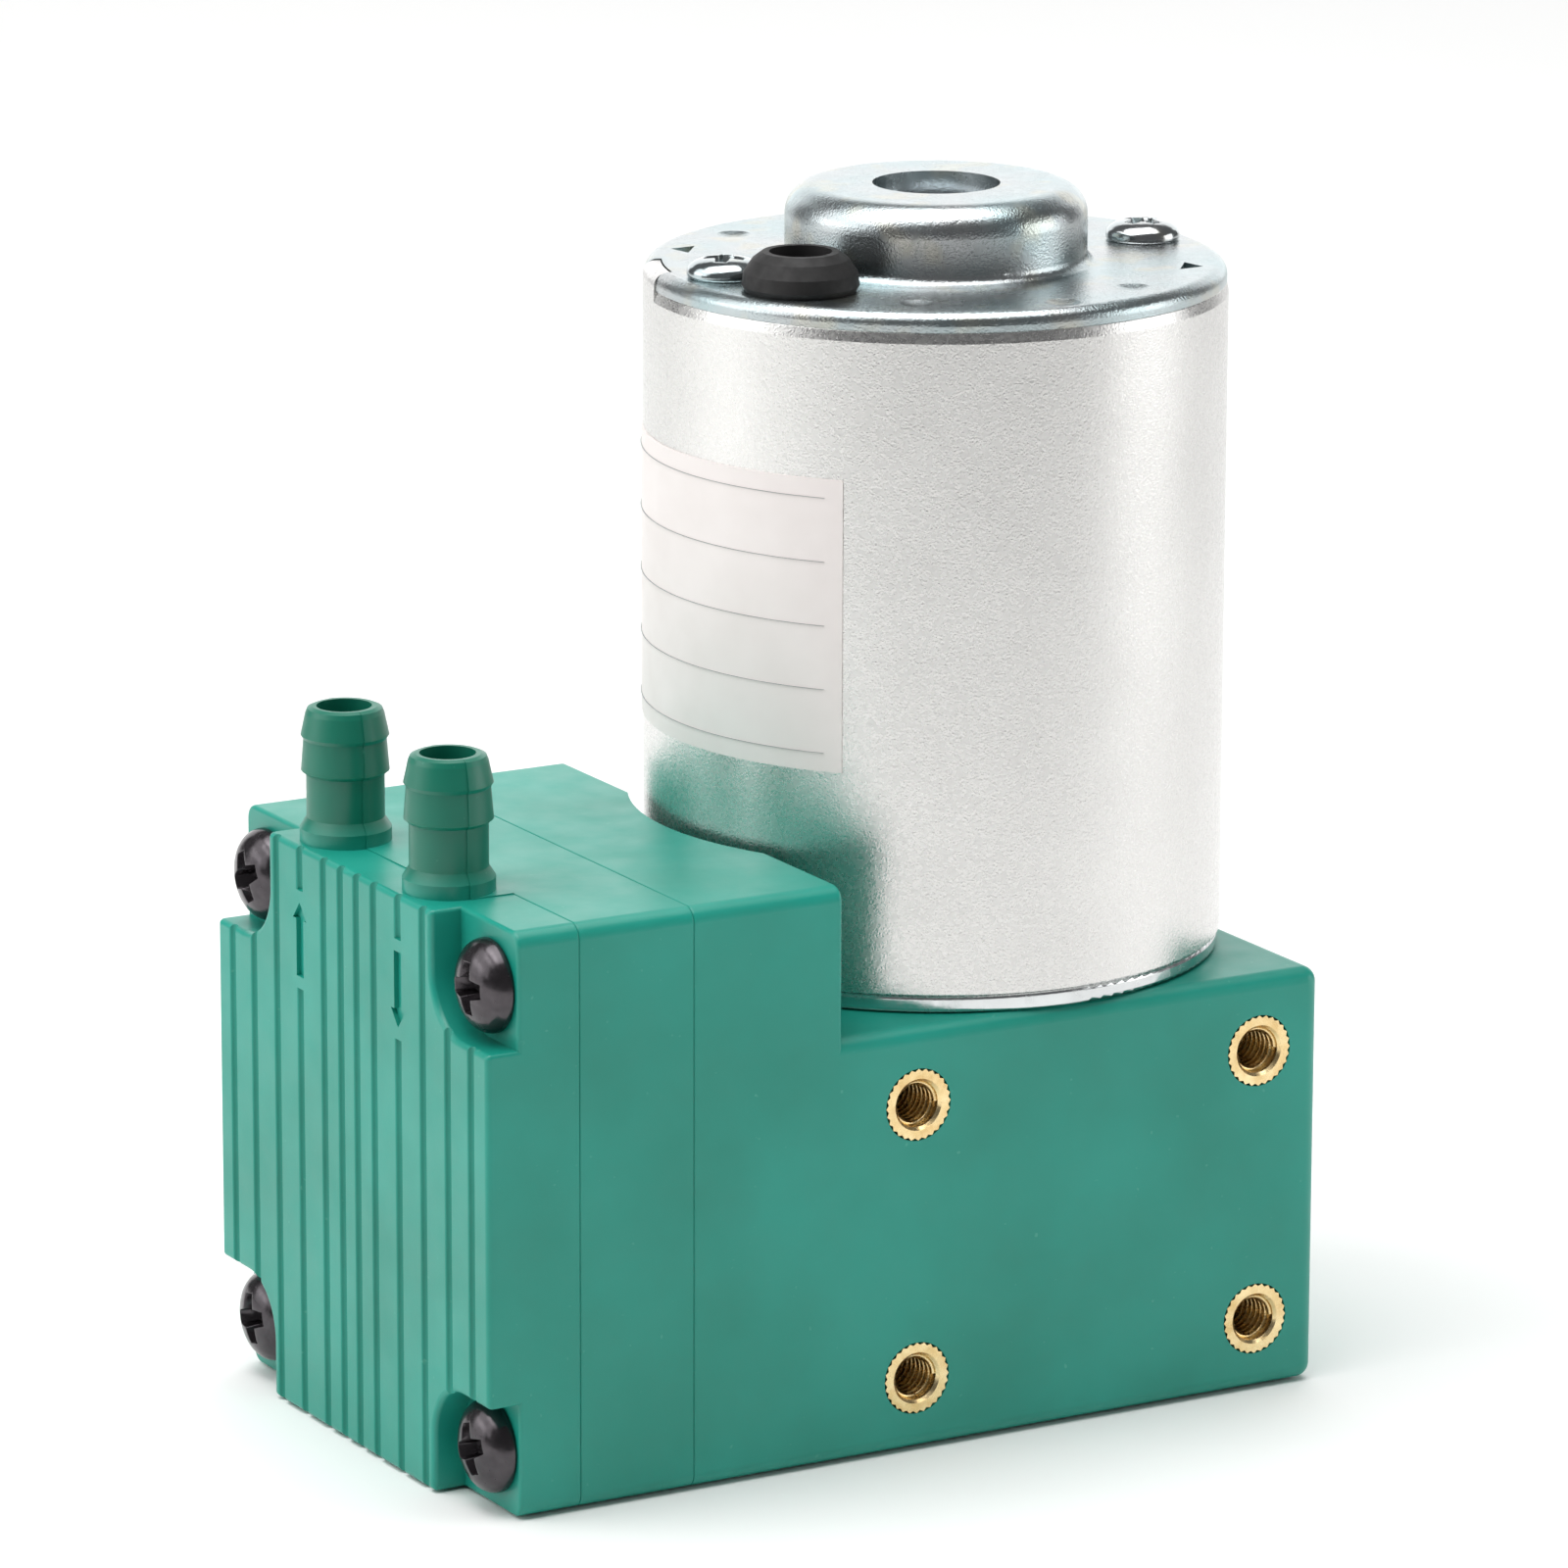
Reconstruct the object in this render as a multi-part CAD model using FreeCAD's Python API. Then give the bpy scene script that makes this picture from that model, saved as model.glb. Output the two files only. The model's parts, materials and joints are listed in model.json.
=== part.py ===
import FreeCAD, Part
import math
import os

V = FreeCAD.Vector

# All lengths are in millimetres and all angles in degrees.
# The motor axis is the Z axis, the underside is z = 0, and the pump head points along -X.

# Aids for the modelling: how far a cutting tool runs past a face, how deep two shapes that
# are fused reach into each other, and how close two lengths must be to count as equal
past = 1.0
overlap = 0.5
tiny = 0.01

# Pump block
block_width = 49.5
head_height = 50.1
case_back_wall = 5.2
case_front = 37.3
tall_block_inset = 1.55
plate_thickness = 10.7
cover_thickness = 8.6
block_edge_round = 1.3
face_edge_round = 0.5
seam_edge_round = 0.15
step_edge_round = 0.35

# Corner notches of the head cover and its long screws
notch_size = 9.9
notch_depth = 2.9
notch_corner_round = 5.0
head_screw_side_inset = 4.4
head_screw_end_inset = 5.3
head_screw_length = 25.0
m4_shank_r = 1.98
m4_head_r = 4.0
m4_head_height = 2.7
m4_clearance_r = 2.15
m4_thread_r = 2.0
pilot_extra_depth = 1.5
head_screw_turns = (20, -35, 60, 25)

# Cross recessed screw heads, as shares of the head's radius or height
pan_rim_share = 0.3
pan_slot_share = 0.26
pan_reach_share = 0.58
pan_recess_share = 0.62
flat_slot_share = 0.24
flat_reach_share = 0.55
recess_foot_share = 0.6
screw_tip_share = 0.4

# Grooves and flow arrows on the front face
groove_middle_offset = 1.45
groove_second_offset = 4.6
groove_pitch = 4.4
groove_edge_inset = 2.85
groove_r = 0.5
groove_lip_r = 0.2
arrow_gap_top = 46.3
arrow_gap_bottom = 37.7
arrow_length = 6.5
arrow_head_length = 1.5
arrow_head_width = 2.5
arrow_shaft_width = 1.3
arrow_depth = 0.4

# Hose barbs and the raised land that their mould slide leaves
port_offset = 9.4
port_depth = 4.0
port_bore_r = 2.35
barb_flange_r = 3.85
barb_flange_height = 1.2
barb_shoulder_height = 0.9
barb_stem_r = 3.27
barb_crest_r = 3.7
barb_waist_r = 3.48
barb_stem_height = 5.8
barb_step_height = 0.35
barb_pitch = 3.05
barb_top_height = 11.65
barb_lip_r = 3.3
barb_lip_round = 0.6
mould_step = 0.1
slide_half_width = 13.4

# Valves
valve_hole_r = 3.0
sheet_thickness = 1.0
sheet_half_width = 17.5
sheet_half_height = 13.0
sheet_corner_r = 3.0
flap_gap = 0.05
flap_disc_r = 4.5
flap_neck_width = 7.0
flap_reach = 9.0
flap_window_gap = 0.4
flap_pocket_depth = 2.6

# Diaphragm and its discs
diaphragm_rim_r = 21.5
diaphragm_free_r = 17.5
diaphragm_rim_thickness = 2.0
diaphragm_web_thickness = 1.2
diaphragm_lift = 1.6
diaphragm_flat_r = 13.0
diaphragm_fold_inset = 0.5
diaphragm_rim_step = 0.2
diaphragm_flat_step = 0.3
clamp_disc_inset = 0.5
clamp_disc_thickness = 1.8
support_disc_inset = 1.0
support_disc_thickness = 1.8
support_disc_edge = 0.5
chamber_clearance = 0.4
disc_back_clearance = 0.9
clamp_screw_length = 12.0
clamp_screw_cone = 1.6

# Crank drive
crank_throw = 2.0
crank_room_gap = 2.0
crank_headroom = 4.45
big_end_wall = 3.0
big_end_height = 7.0
big_end_lip = 1.0
rod_shank_width = 9.0
rod_boss_r = 5.5
rod_boss_length = 4.0
rod_shank_start = 1.0
rod_side_clearance = 1.4
crank_pin_r = 7.5
crank_pin_end = 0.3
rod_bearing_outer_r = 12.0
rod_bearing_width = 5.0
rod_bearing_ball_r = 1.2
rod_bearing_balls_count = 14
crank_shoulder = 1.1
crank_hub_r = 8.5
crank_hub_height = 9.0
counterweight_r = 14.5
counterweight_height = 5.0
counterweight_lift = 2.0
set_screw_r = 1.96
set_screw_height = 3.4
set_screw_sink = 0.3
hex_socket_r = 1.1
hex_socket_depth = 1.2

# Bottom cover
bottom_cover_thickness = 2.4
bottom_cover_end_ledge = 3.6
bottom_cover_side_ledge = 1.5
bottom_cover_corner_r = 3.0
bottom_cover_gap = 0.05
bottom_screw_inset = 2.6
bottom_screw_y = 8.0
bottom_screw_head_r = 2.3
bottom_screw_shank_r = 1.23
bottom_screw_hole_r = 1.25
bottom_screw_length = 8.0
countersink_depth = 1.1

# Threaded inserts on the side that faces -Y
insert_front_x = -15.8
insert_back_inset = 6.2
insert_low_z = 6.3
insert_top_inset = 6.6
insert_length = 8.0
insert_body_r = 2.9
insert_rim_r = 3.12
insert_rim_height = 0.9
insert_teeth = 28
insert_tooth_depth = 0.22
insert_bore_r = 2.0
insert_mouth_round = 0.25
seat_gap = 0.02

# Motor shell
can_overhang = 0.2
can_wall = 1.5
can_bottom_gap = 1.6
can_length = 56.7
can_lip_height = 0.95
can_lip_depth = 0.2
can_tab_angles = (152.5, 167.0)
can_tab_drop = 0.1
can_tab_gap = 0.12
can_recess_gap = 1.35
motor_wall = 3.9
pilot_wall = 1.4
pilot_height = 3.3
pilot_gap = 0.1
bell_spigot_height = 2.1
bell_edge_round = 0.45
can_edge_round = 0.15
bell_seat_wall = 2.2
shaft_hole_gap = 1.0
mount_screw_circle_r = 15.8
mount_screw_angles = (45, 135, 225, 315)
mount_screw_end_gap = 0.5
m3_shank_r = 1.48
m3_hole_r = 1.5
m3_clearance_r = 1.65
m3_head_r = 2.7
m3_head_height = 1.9

# End cap
cap_inset = 0.15
cap_sheet = 1.6
cap_rim_round = 1.1
boss_wall = 1.9
boss_height = 6.5
boss_shoulder_round = 2.6
boss_foot_round = 0.9
boss_hole_r = 5.45
cap_turn = -3.4
cap_screw_inset = 3.45
cap_screw_head_r = 3.2
cap_screw_head_height = 2.2
cap_screw_length = 7.0
cap_screw_turns = (15, 50)
dimple_r = 1.5
dimple_depth = 0.3
dimple_insets_and_angles = ((4.6, 119), (4.6, 235), (4.0, 292), (2.8, 268), (4.6, 55))
stake_angles = (141, -39)
stake_inset = 2.8
stake_length = 3.2
stake_width = 1.8
stake_depth = 0.4
rim_nick_angle = 151
rim_nick_width = 1.3
rim_nick_depth = 1.1

# Lead grommet between boss and rim: its outside above the cap is given as steps in from its
# widest radius, at heights
grommet_angle = -158
grommet_boss_gap = 0.75
grommet_rim_gap = 1.25
grommet_outside = ((0.3, 0.0), (0.0, 0.5), (0.15, 1.6), (0.9, 2.7), (1.7, 3.3))
grommet_neck_step = 1.35
grommet_lower_step = 0.45
grommet_lower_height = 1.2
grommet_wall = 2.3

# Label on the can
label_foot_height = 19.0
label_height = 25.0
label_thickness = 0.12
label_edge_angle = -138.3
label_span = 115.0

# Motor inside
shaft_r = 4.0
shaft_foot = 0.95
shaft_end_gap = 1.4
shaft_chamfer = 0.4
motor_bearing_outer_r = 11.0
motor_bearing_width = 7.0
motor_bearing_ball_r = 1.98
motor_bearing_balls_count = 7
race_gap = 0.03
cage_gap = 0.06
cage_half_wall = 0.45
cage_bridge = 0.5
cage_land_gap = 0.1
bearing_land_share = 0.6
rotor_r = 16.5
rotor_foot_gap = 3.3
rotor_slots = 8
slot_opening = 2.4
rotor_hub_r = 7.6
rotor_tooth_tip = 2.0
rotor_tooth_share = 0.42
winding_gap = 0.3
end_turn_height = 4.5
air_gap = 0.8
magnet_overhang = 3.0
magnet_angles = (90, 270)
magnet_half_span = 62
commutator_r = 7.0
commutator_foot_gap = 1.7
commutator_length = 7.0
commutator_end_gap = 3.5
commutator_slit = 0.5
commutator_slit_depth = 1.0
brush_card_drop = 3.6
brush_card_thickness = 2.0
brush_card_hole_r = 12.4
brush_card_lead_gap = 0.55
brush_width = 4.0
brush_height = 4.6
brush_length = 6.5
brush_wall = 0.9
brush_gap = 0.05
brush_box_end_gap = 3.45
brush_box_gap = 1.2
spring_wire_r = 0.25
spring_coil_r = 1.4
spring_turns = 6
card_post_r = 2.6

# Places that follow from the sizes above
head_mid_z = head_height / 2
half_width = block_width / 2
groove_edge_offset = half_width - groove_edge_inset
groove_count = round((groove_edge_offset - groove_second_offset) / groove_pitch)
groove_offsets = [groove_middle_offset, groove_edge_offset]
groove_offsets += [groove_second_offset + groove_pitch * index for index in range(groove_count)]
arrow_offset = groove_second_offset + groove_pitch
big_end_r = rod_bearing_outer_r + big_end_wall
crank_room_r = big_end_r + crank_throw + crank_room_gap
crank_room_top_z = head_mid_z + big_end_height / 2 + crank_headroom
base_height = crank_room_top_z + motor_wall
case_back = crank_room_r + case_back_wall
case_front_x = -case_front
plate_front_x = case_front_x - plate_thickness
cover_front_x = plate_front_x - cover_thickness
notch_floor_x = cover_front_x + notch_depth
port_x = plate_front_x - port_depth
flap_hinge_z = head_mid_z + flap_reach
flap_root_r = sheet_thickness / 2 - flap_gap
web_front_x = case_front_x - diaphragm_lift
web_back_x = web_front_x + diaphragm_web_thickness
clamp_front_x = web_front_x - clamp_disc_thickness
support_back_x = web_back_x + support_disc_thickness
chamber_floor_x = clamp_front_x - chamber_clearance
disc_room_back_x = support_back_x + 2 * crank_throw + disc_back_clearance
crank_pin_x = -crank_throw
rod_bearing_low_z = head_mid_z - rod_bearing_width / 2
rod_bearing_high_z = head_mid_z + rod_bearing_width / 2
crank_shoulder_z = rod_bearing_low_z - crank_shoulder
crank_hub_low_z = crank_shoulder_z - crank_hub_height
bottom_cover_half_length = crank_room_r + bottom_cover_end_ledge
bottom_cover_half_width = crank_room_r + bottom_cover_side_ledge
bottom_screw_x = bottom_cover_half_length - bottom_screw_inset
insert_back_x = case_back - insert_back_inset
insert_high_z = base_height - insert_top_inset
clamp_disc_r = diaphragm_flat_r - clamp_disc_inset
support_disc_r = diaphragm_flat_r - support_disc_inset
bell_r = half_width
can_r = bell_r + can_overhang
can_inner_r = can_r - can_wall
can_recess_r = can_r + can_recess_gap
tall_block_back = bell_r - tall_block_inset
bell_top_z = base_height + can_bottom_gap
can_top_z = bell_top_z + can_length
cap_under_z = can_top_z
cap_top_z = cap_under_z + cap_sheet
boss_top_z = cap_top_z + boss_height
rear_bearing_high_z = boss_top_z - cap_sheet
rear_bearing_low_z = rear_bearing_high_z - motor_bearing_width
front_bearing_low_z = base_height - pilot_height + cap_sheet
front_bearing_high_z = front_bearing_low_z + motor_bearing_width
can_tab_top_z = cap_top_z - can_tab_drop
pilot_r = motor_bearing_outer_r + pilot_wall
boss_r = motor_bearing_outer_r + boss_wall
cap_r = can_r - cap_inset
cap_screw_circle_r = can_inner_r - cap_screw_inset
stake_circle_r = cap_r - stake_inset
grommet_r = (cap_r - boss_r - grommet_boss_gap - grommet_rim_gap) / 2
grommet_circle_r = boss_r + grommet_boss_gap + grommet_r
grommet_neck_r = grommet_r - grommet_neck_step
grommet_lower_r = grommet_r - grommet_lower_step
grommet_bore_r = grommet_r - grommet_wall
grommet_height = grommet_outside[-1][1]
label_bottom_z = bell_top_z + label_foot_height
label_top_z = label_bottom_z + label_height
shaft_bottom_z = crank_hub_low_z - shaft_foot
shaft_top_z = boss_top_z - shaft_end_gap
rotor_bottom_z = front_bearing_high_z + rotor_foot_gap + end_turn_height
commutator_top_z = rear_bearing_low_z - commutator_end_gap
commutator_bottom_z = commutator_top_z - commutator_length
rotor_top_z = commutator_bottom_z - commutator_foot_gap - end_turn_height
magnet_bottom_z = rotor_bottom_z - magnet_overhang
magnet_top_z = rotor_top_z + magnet_overhang
brush_card_bottom_z = cap_under_z - brush_card_drop
brush_box_end_y = can_inner_r - brush_box_end_gap
head_screw_places = [
    (side * (half_width - head_screw_side_inset), z)
    for side in (-1, 1)
    for z in (head_screw_end_inset, head_height - head_screw_end_inset)
]


def box(x, y, z):
    """Block between two limits along each axis."""
    return Part.makeBox(x[1] - x[0], y[1] - y[0], z[1] - z[0], V(x[0], y[0], z[0]))


def bar(radius, start, end):
    """Round bar from one point to another."""
    along = end.sub(start)
    return Part.makeCylinder(radius, along.Length, start, along)


def upright(radius, low, high, x=0.0, y=0.0):
    """Round bar parallel to the motor axis."""
    return bar(radius, V(x, y, low), V(x, y, high))


def tube(outer, inner, low, high, x=0.0, y=0.0):
    """Upright tube."""
    return upright(outer, low, high, x, y).cut(upright(inner, low, high, x, y))


def turned(profile):
    """Solid turned about the Z axis from a closed outline of (radius, height) points."""
    points = [V(r, 0, z) for r, z in profile]
    outline = Part.Face(Part.makePolygon(points + points[:1]))
    return outline.revolve(V(0, 0, 0), V(0, 0, 1), 360)


def faced_forward(shape, x, y, z):
    """Turn a shape's +Z to -X and set its origin down at a point."""
    shape = shape.copy()
    shape.rotate(V(0, 0, 0), V(0, 1, 0), -90)
    shape.translate(V(x, y, z))
    return shape


def faced_sideways(shape, x, y, z):
    """Turn a shape's +Z to -Y and set its origin down at a point."""
    shape = shape.copy()
    shape.rotate(V(0, 0, 0), V(1, 0, 0), 90)
    shape.translate(V(x, y, z))
    return shape


def moved(shape, x=0.0, y=0.0, z=0.0):
    """Copy of a shape at another place."""
    shape = shape.copy()
    shape.translate(V(x, y, z))
    return shape


def polar(radius, angle):
    """Plan position at a radius and an angle from +X."""
    turn = math.radians(angle)
    return radius * math.cos(turn), radius * math.sin(turn)


def cut_all(shape, tools):
    """Shape with every tool taken away."""
    for tool in tools:
        shape = shape.cut(tool)
    return shape


def fuse_all(shapes):
    """One solid from shapes that share volume."""
    whole = shapes[0]
    for shape in shapes[1:]:
        whole = whole.fuse(shape)
    return whole.removeSplitter()


def rounded_edges(shape, radius, wanted):
    """Round every edge that a test picks out."""
    return shape.makeFillet(radius, [edge for edge in shape.Edges if wanted(edge)])


def runs_along(edge, axis):
    """True for a straight edge parallel to a unit axis."""
    span = edge.Vertexes[-1].Point.sub(edge.Vertexes[0].Point)
    straight = abs(span.Length - edge.Length) < tiny
    return straight and abs(span.dot(axis)) > span.Length * (1 - tiny)


def rim_at(edge, radius, z):
    """True for a level circular edge of a radius about the motor axis."""
    if not isinstance(edge.Curve, Part.Circle):
        return False
    centre = edge.Curve.Center
    off_axis = math.hypot(centre.x, centre.y)
    return off_axis < tiny and abs(edge.Curve.Radius - radius) < tiny and abs(centre.z - z) < tiny


def soft_block(x, y, z, radius):
    """Block whose four edges along X are rounded."""
    block = box(x, y, z)
    return rounded_edges(block, radius, lambda edge: runs_along(edge, V(1, 0, 0)))


def rounded_slab(half_x, half_y, low, high, corner_r):
    """Level slab with rounded corners, centred on the motor axis."""
    slab = box((-half_x, half_x), (-half_y, half_y), (low, high))
    return rounded_edges(slab, corner_r, lambda edge: runs_along(edge, V(0, 0, 1)))


def cross_recess(width, reach, depth):
    """Tapered cross slot that points down from z = 0."""
    arms = box((-reach, reach), (-width / 2, width / 2), (-depth, depth))
    arms = arms.fuse(box((-width / 2, width / 2), (-reach, reach), (-depth, depth)))
    taper = Part.makeCone(width * recess_foot_share, reach, depth, V(0, 0, -depth), V(0, 0, 1))
    return arms.common(taper.fuse(upright(reach, 0, depth)))


def pan_screw(shank_r, length, head_r, head_height, turn=0.0):
    """Pan head screw with a cross recess: the head stands above z = 0, the shank below."""
    rim = head_height * pan_rim_share
    crown = head_height - rim
    dome_r = (head_r ** 2 + crown ** 2) / (2 * crown)
    dome = Part.makeSphere(dome_r, V(0, 0, head_height - dome_r))
    head = upright(head_r, 0, head_height).common(dome)
    recess = cross_recess(head_r * pan_slot_share, head_r * pan_reach_share, head_height * pan_recess_share)
    recess = moved(recess, z=head_height)
    tip = shank_r * screw_tip_share
    shank = turned([(0, 0), (shank_r, 0), (shank_r, tip - length), (shank_r - tip, -length), (0, -length)])
    screw = head.fuse(shank).cut(recess)
    screw.rotate(V(0, 0, 0), V(0, 0, 1), turn)
    return screw


def flat_screw(shank_r, length, head_r, cone_height, turn=0.0):
    """Countersunk screw with a cross recess: the head's face is z = 0 and the shank goes down."""
    screw = turned([(0, 0), (head_r, 0), (shank_r, -cone_height), (shank_r, -length), (0, -length)])
    screw = screw.cut(cross_recess(head_r * flat_slot_share, head_r * flat_reach_share, cone_height))
    screw.rotate(V(0, 0, 0), V(0, 0, 1), turn)
    return screw


def countersink(hole_r, length, head_r, cone_height):
    """Tool for a countersunk hole whose mouth is z = 0."""
    return turned([(0, 0), (head_r, 0), (hole_r, -cone_height), (hole_r, -length), (0, -length)])


def flap_outline(grow, x_low, x_high):
    """Prism of a flap's tongue, grown all round, between two places along X and centred on y = 0."""
    disc = bar(flap_disc_r + grow, V(x_low, 0, head_mid_z), V(x_high, 0, head_mid_z))
    half_neck = flap_neck_width / 2 + grow
    top_z = flap_hinge_z + flap_root_r + grow
    neck = box((x_low, x_high), (-half_neck, half_neck), (head_mid_z, top_z))
    return disc.fuse(neck)


def barb(mould_offset):
    """Hose barb outline turned about the Z axis, with its foot just under z = 0."""
    top_z = barb_top_height
    upper_step_z = barb_stem_height + barb_pitch
    bend = barb_lip_round * (1 - math.sqrt(0.5))
    profile = [(0, -past), (barb_flange_r, -past), (barb_flange_r, barb_flange_height),
               (barb_stem_r, barb_flange_height + barb_shoulder_height),
               (barb_stem_r, barb_stem_height),
               (barb_crest_r, barb_stem_height + barb_step_height),
               (barb_waist_r, upper_step_z),
               (barb_crest_r, upper_step_z + barb_step_height),
               (barb_lip_r, top_z - barb_lip_round),
               (barb_lip_r - bend, top_z - bend),
               (barb_lip_r - barb_lip_round, top_z), (0, top_z)]
    grown = [(r + mould_offset if r > 0 else 0, z) for r, z in profile]
    return turned(grown)


def head_cover():
    """Cover with the two hose barbs, the front grooves and arrows, and the passages behind them."""
    cover = cover_block()
    land = box((port_x, plate_front_x), (-slide_half_width, slide_half_width),
               (head_height - past, head_height + mould_step))
    reach = 2 * barb_flange_r
    heights = (-2 * past, barb_top_height + past)
    solids = [cover, land]
    for side in (-1, 1):
        front_half = barb(0.0).common(box((-reach, 0), (-reach, reach), heights))
        back_half = barb(mould_step).common(box((0, reach), (-reach, reach), heights))
        both = front_half.fuse(back_half)
        solids.append(moved(both, port_x, side * port_offset, head_height))
    cover = fuse_all(solids)
    return cut_all(cover, front_grooves() + flow_arrows() + cover_passages())


def cover_block():
    """Cover's block with its corner notches cut and its edges rounded."""
    block = box((cover_front_x, plate_front_x), (-half_width, half_width), (0, head_height))
    block = cut_all(block, corner_notches())

    def along_x_at_side(edge):
        middle = edge.BoundBox.Center
        at_side = abs(abs(middle.y) - half_width) < tiny
        at_end = abs(abs(middle.z - head_mid_z) - head_mid_z) < tiny
        return runs_along(edge, V(1, 0, 0)), at_side, at_end

    def block_corner(edge):
        return all(along_x_at_side(edge))

    def notch_corner(edge):
        along, at_side, at_end = along_x_at_side(edge)
        return along and at_side != at_end

    def notch_floor_rim(edge):
        bounds = edge.BoundBox
        on_floor = abs(bounds.XMin - notch_floor_x) < tiny and abs(bounds.XMax - notch_floor_x) < tiny
        near_side = abs(bounds.Center.y) > half_width - block_edge_round
        near_end = abs(bounds.Center.z - head_mid_z) > head_mid_z - block_edge_round
        return on_floor and (near_side or near_end)

    block = rounded_edges(block, block_edge_round, block_corner)
    block = rounded_edges(block, step_edge_round, lambda edge: notch_corner(edge) or notch_floor_rim(edge))
    block = rounded_edges(block, face_edge_round, lambda edge: edge.BoundBox.XMax < cover_front_x + tiny)
    return rounded_edges(block, seam_edge_round, lambda edge: in_seam(edge, plate_front_x))


def in_seam(edge, x):
    """True for an outer edge of a block where it meets its neighbour at a place along X."""
    bounds = edge.BoundBox
    on_plane = abs(bounds.XMin - x) < tiny and abs(bounds.XMax - x) < tiny
    near_side = abs(bounds.Center.y) > half_width - block_edge_round
    near_end = abs(bounds.Center.z - head_mid_z) > head_mid_z - block_edge_round
    return on_plane and (near_side or near_end)


def corner_notches():
    """Square pockets at the four corners of the cover, each with one round inner corner and a screw hole."""
    tools = []
    for side in (-1, 1):
        for low, high in ((-past, notch_size), (head_height - notch_size, head_height + past)):
            wide = sorted((side * (half_width - notch_size), side * (half_width + past)))
            pocket = box((cover_front_x - past, notch_floor_x), wide, (low, high))
            inner_y = side * (half_width - notch_size)
            inner_z = high if low < 0 else low

            def inner_corner(edge):
                middle = edge.BoundBox.Center
                near = abs(middle.y - inner_y) < tiny and abs(middle.z - inner_z) < tiny
                return runs_along(edge, V(1, 0, 0)) and near

            tools.append(rounded_edges(pocket, notch_corner_round, inner_corner))
    for y, z in head_screw_places:
        tools.append(bar(m4_clearance_r, V(cover_front_x, y, z), V(plate_front_x + past, y, z)))
    return tools


def groove_bar():
    """Bar that cuts one groove with soft lips, centred on the front face."""
    reach = groove_r + groove_lip_r
    lip_y = math.sqrt(reach ** 2 - groove_lip_r ** 2)
    meet = V(groove_lip_r, lip_y, 0) * (groove_r / reach)
    lip_turn = math.atan2(lip_y, groove_lip_r) / 2
    lip_middle = V(groove_lip_r * (1 - math.cos(lip_turn)), lip_y - groove_lip_r * math.sin(lip_turn), 0)

    def mirrored(point):
        return V(point.x, -point.y, 0)

    corners = [V(-past, lip_y, 0), V(0, lip_y, 0)]
    upper_lip = Part.Arc(corners[1], lip_middle, meet)
    bottom = Part.Arc(meet, V(groove_r, 0, 0), mirrored(meet))
    lower_lip = Part.Arc(mirrored(meet), mirrored(lip_middle), mirrored(corners[1]))
    curves = [Part.LineSegment(corners[0], corners[1]), upper_lip, bottom, lower_lip,
              Part.LineSegment(mirrored(corners[1]), mirrored(corners[0])),
              Part.LineSegment(mirrored(corners[0]), corners[0])]
    face = Part.Face(Part.Wire([curve.toShape() for curve in curves]))
    return moved(face.extrude(V(0, 0, head_height + 2 * past)), x=cover_front_x, z=-past)


def front_grooves():
    """Upright round grooves, stopped beside the two arrows."""
    tools = []
    for offset in groove_offsets:
        for side in (-1, 1):
            y = side * offset
            groove = moved(groove_bar(), y=y)
            if abs(offset - arrow_offset) < tiny:
                beside = box((cover_front_x - past, cover_front_x + past), (y - past, y + past),
                             (arrow_gap_bottom, arrow_gap_top))
                groove = groove.cut(beside)
            tools.append(groove)
    return tools


def flow_arrows():
    """Engraved arrows: up at the outlet on the +Y side, down at the inlet on the -Y side."""
    half = arrow_length / 2
    neck = half - arrow_head_length
    outline = [(-arrow_shaft_width / 2, -half), (arrow_shaft_width / 2, -half),
               (arrow_shaft_width / 2, neck), (arrow_head_width / 2, neck), (0, half),
               (-arrow_head_width / 2, neck), (-arrow_shaft_width / 2, neck)]
    middle_z = (arrow_gap_top + arrow_gap_bottom) / 2
    tools = []
    for side in (-1, 1):
        y = side * arrow_offset
        points = [V(cover_front_x - past, y + across, middle_z + side * up) for across, up in outline]
        face = Part.Face(Part.makePolygon(points + points[:1]))
        tools.append(face.extrude(V(arrow_depth + past, 0, 0)))
    return tools


def cover_passages():
    """Upright bores from the barbs, the inlet's seat hole and the outlet flap's pocket."""
    tools = []
    for side in (-1, 1):
        y = side * port_offset
        bore_top_z = head_height + barb_top_height + past
        tools.append(upright(port_bore_r, head_mid_z - port_bore_r, bore_top_z, port_x, y))
        hole_r = valve_hole_r if side < 0 else port_bore_r
        tools.append(bar(hole_r, V(port_x, y, head_mid_z), V(plate_front_x + past, y, head_mid_z)))
    pocket = flap_outline(flap_window_gap, plate_front_x - flap_pocket_depth, plate_front_x + past)
    tools.append(moved(pocket, y=port_offset))
    return tools


def valve_plate():
    """Middle plate: sheet recess and inlet pocket in front, pumping chamber behind."""
    plate = soft_block((plate_front_x, case_front_x), (-half_width, half_width), (0, head_height),
                       block_edge_round)
    for seam_x in (plate_front_x, case_front_x):
        plate = rounded_edges(plate, seam_edge_round, lambda edge: in_seam(edge, seam_x))
    sheet_back_x = plate_front_x + sheet_thickness
    chamber = bar(diaphragm_free_r, V(chamber_floor_x, 0, head_mid_z), V(case_front_x + past, 0, head_mid_z))
    recess = sheet_prism(plate_front_x - past, sheet_back_x)
    pocket = moved(flap_outline(flap_window_gap, plate_front_x, sheet_back_x + flap_pocket_depth),
                   y=-port_offset)
    tools = [chamber, recess, pocket]
    for side in (-1, 1):
        y = side * port_offset
        tools.append(bar(valve_hole_r, V(plate_front_x, y, head_mid_z), V(case_front_x, y, head_mid_z)))
    for y, z in head_screw_places:
        tools.append(bar(m4_clearance_r, V(plate_front_x - past, y, z), V(case_front_x + past, y, z)))
    return cut_all(plate, tools)


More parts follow.
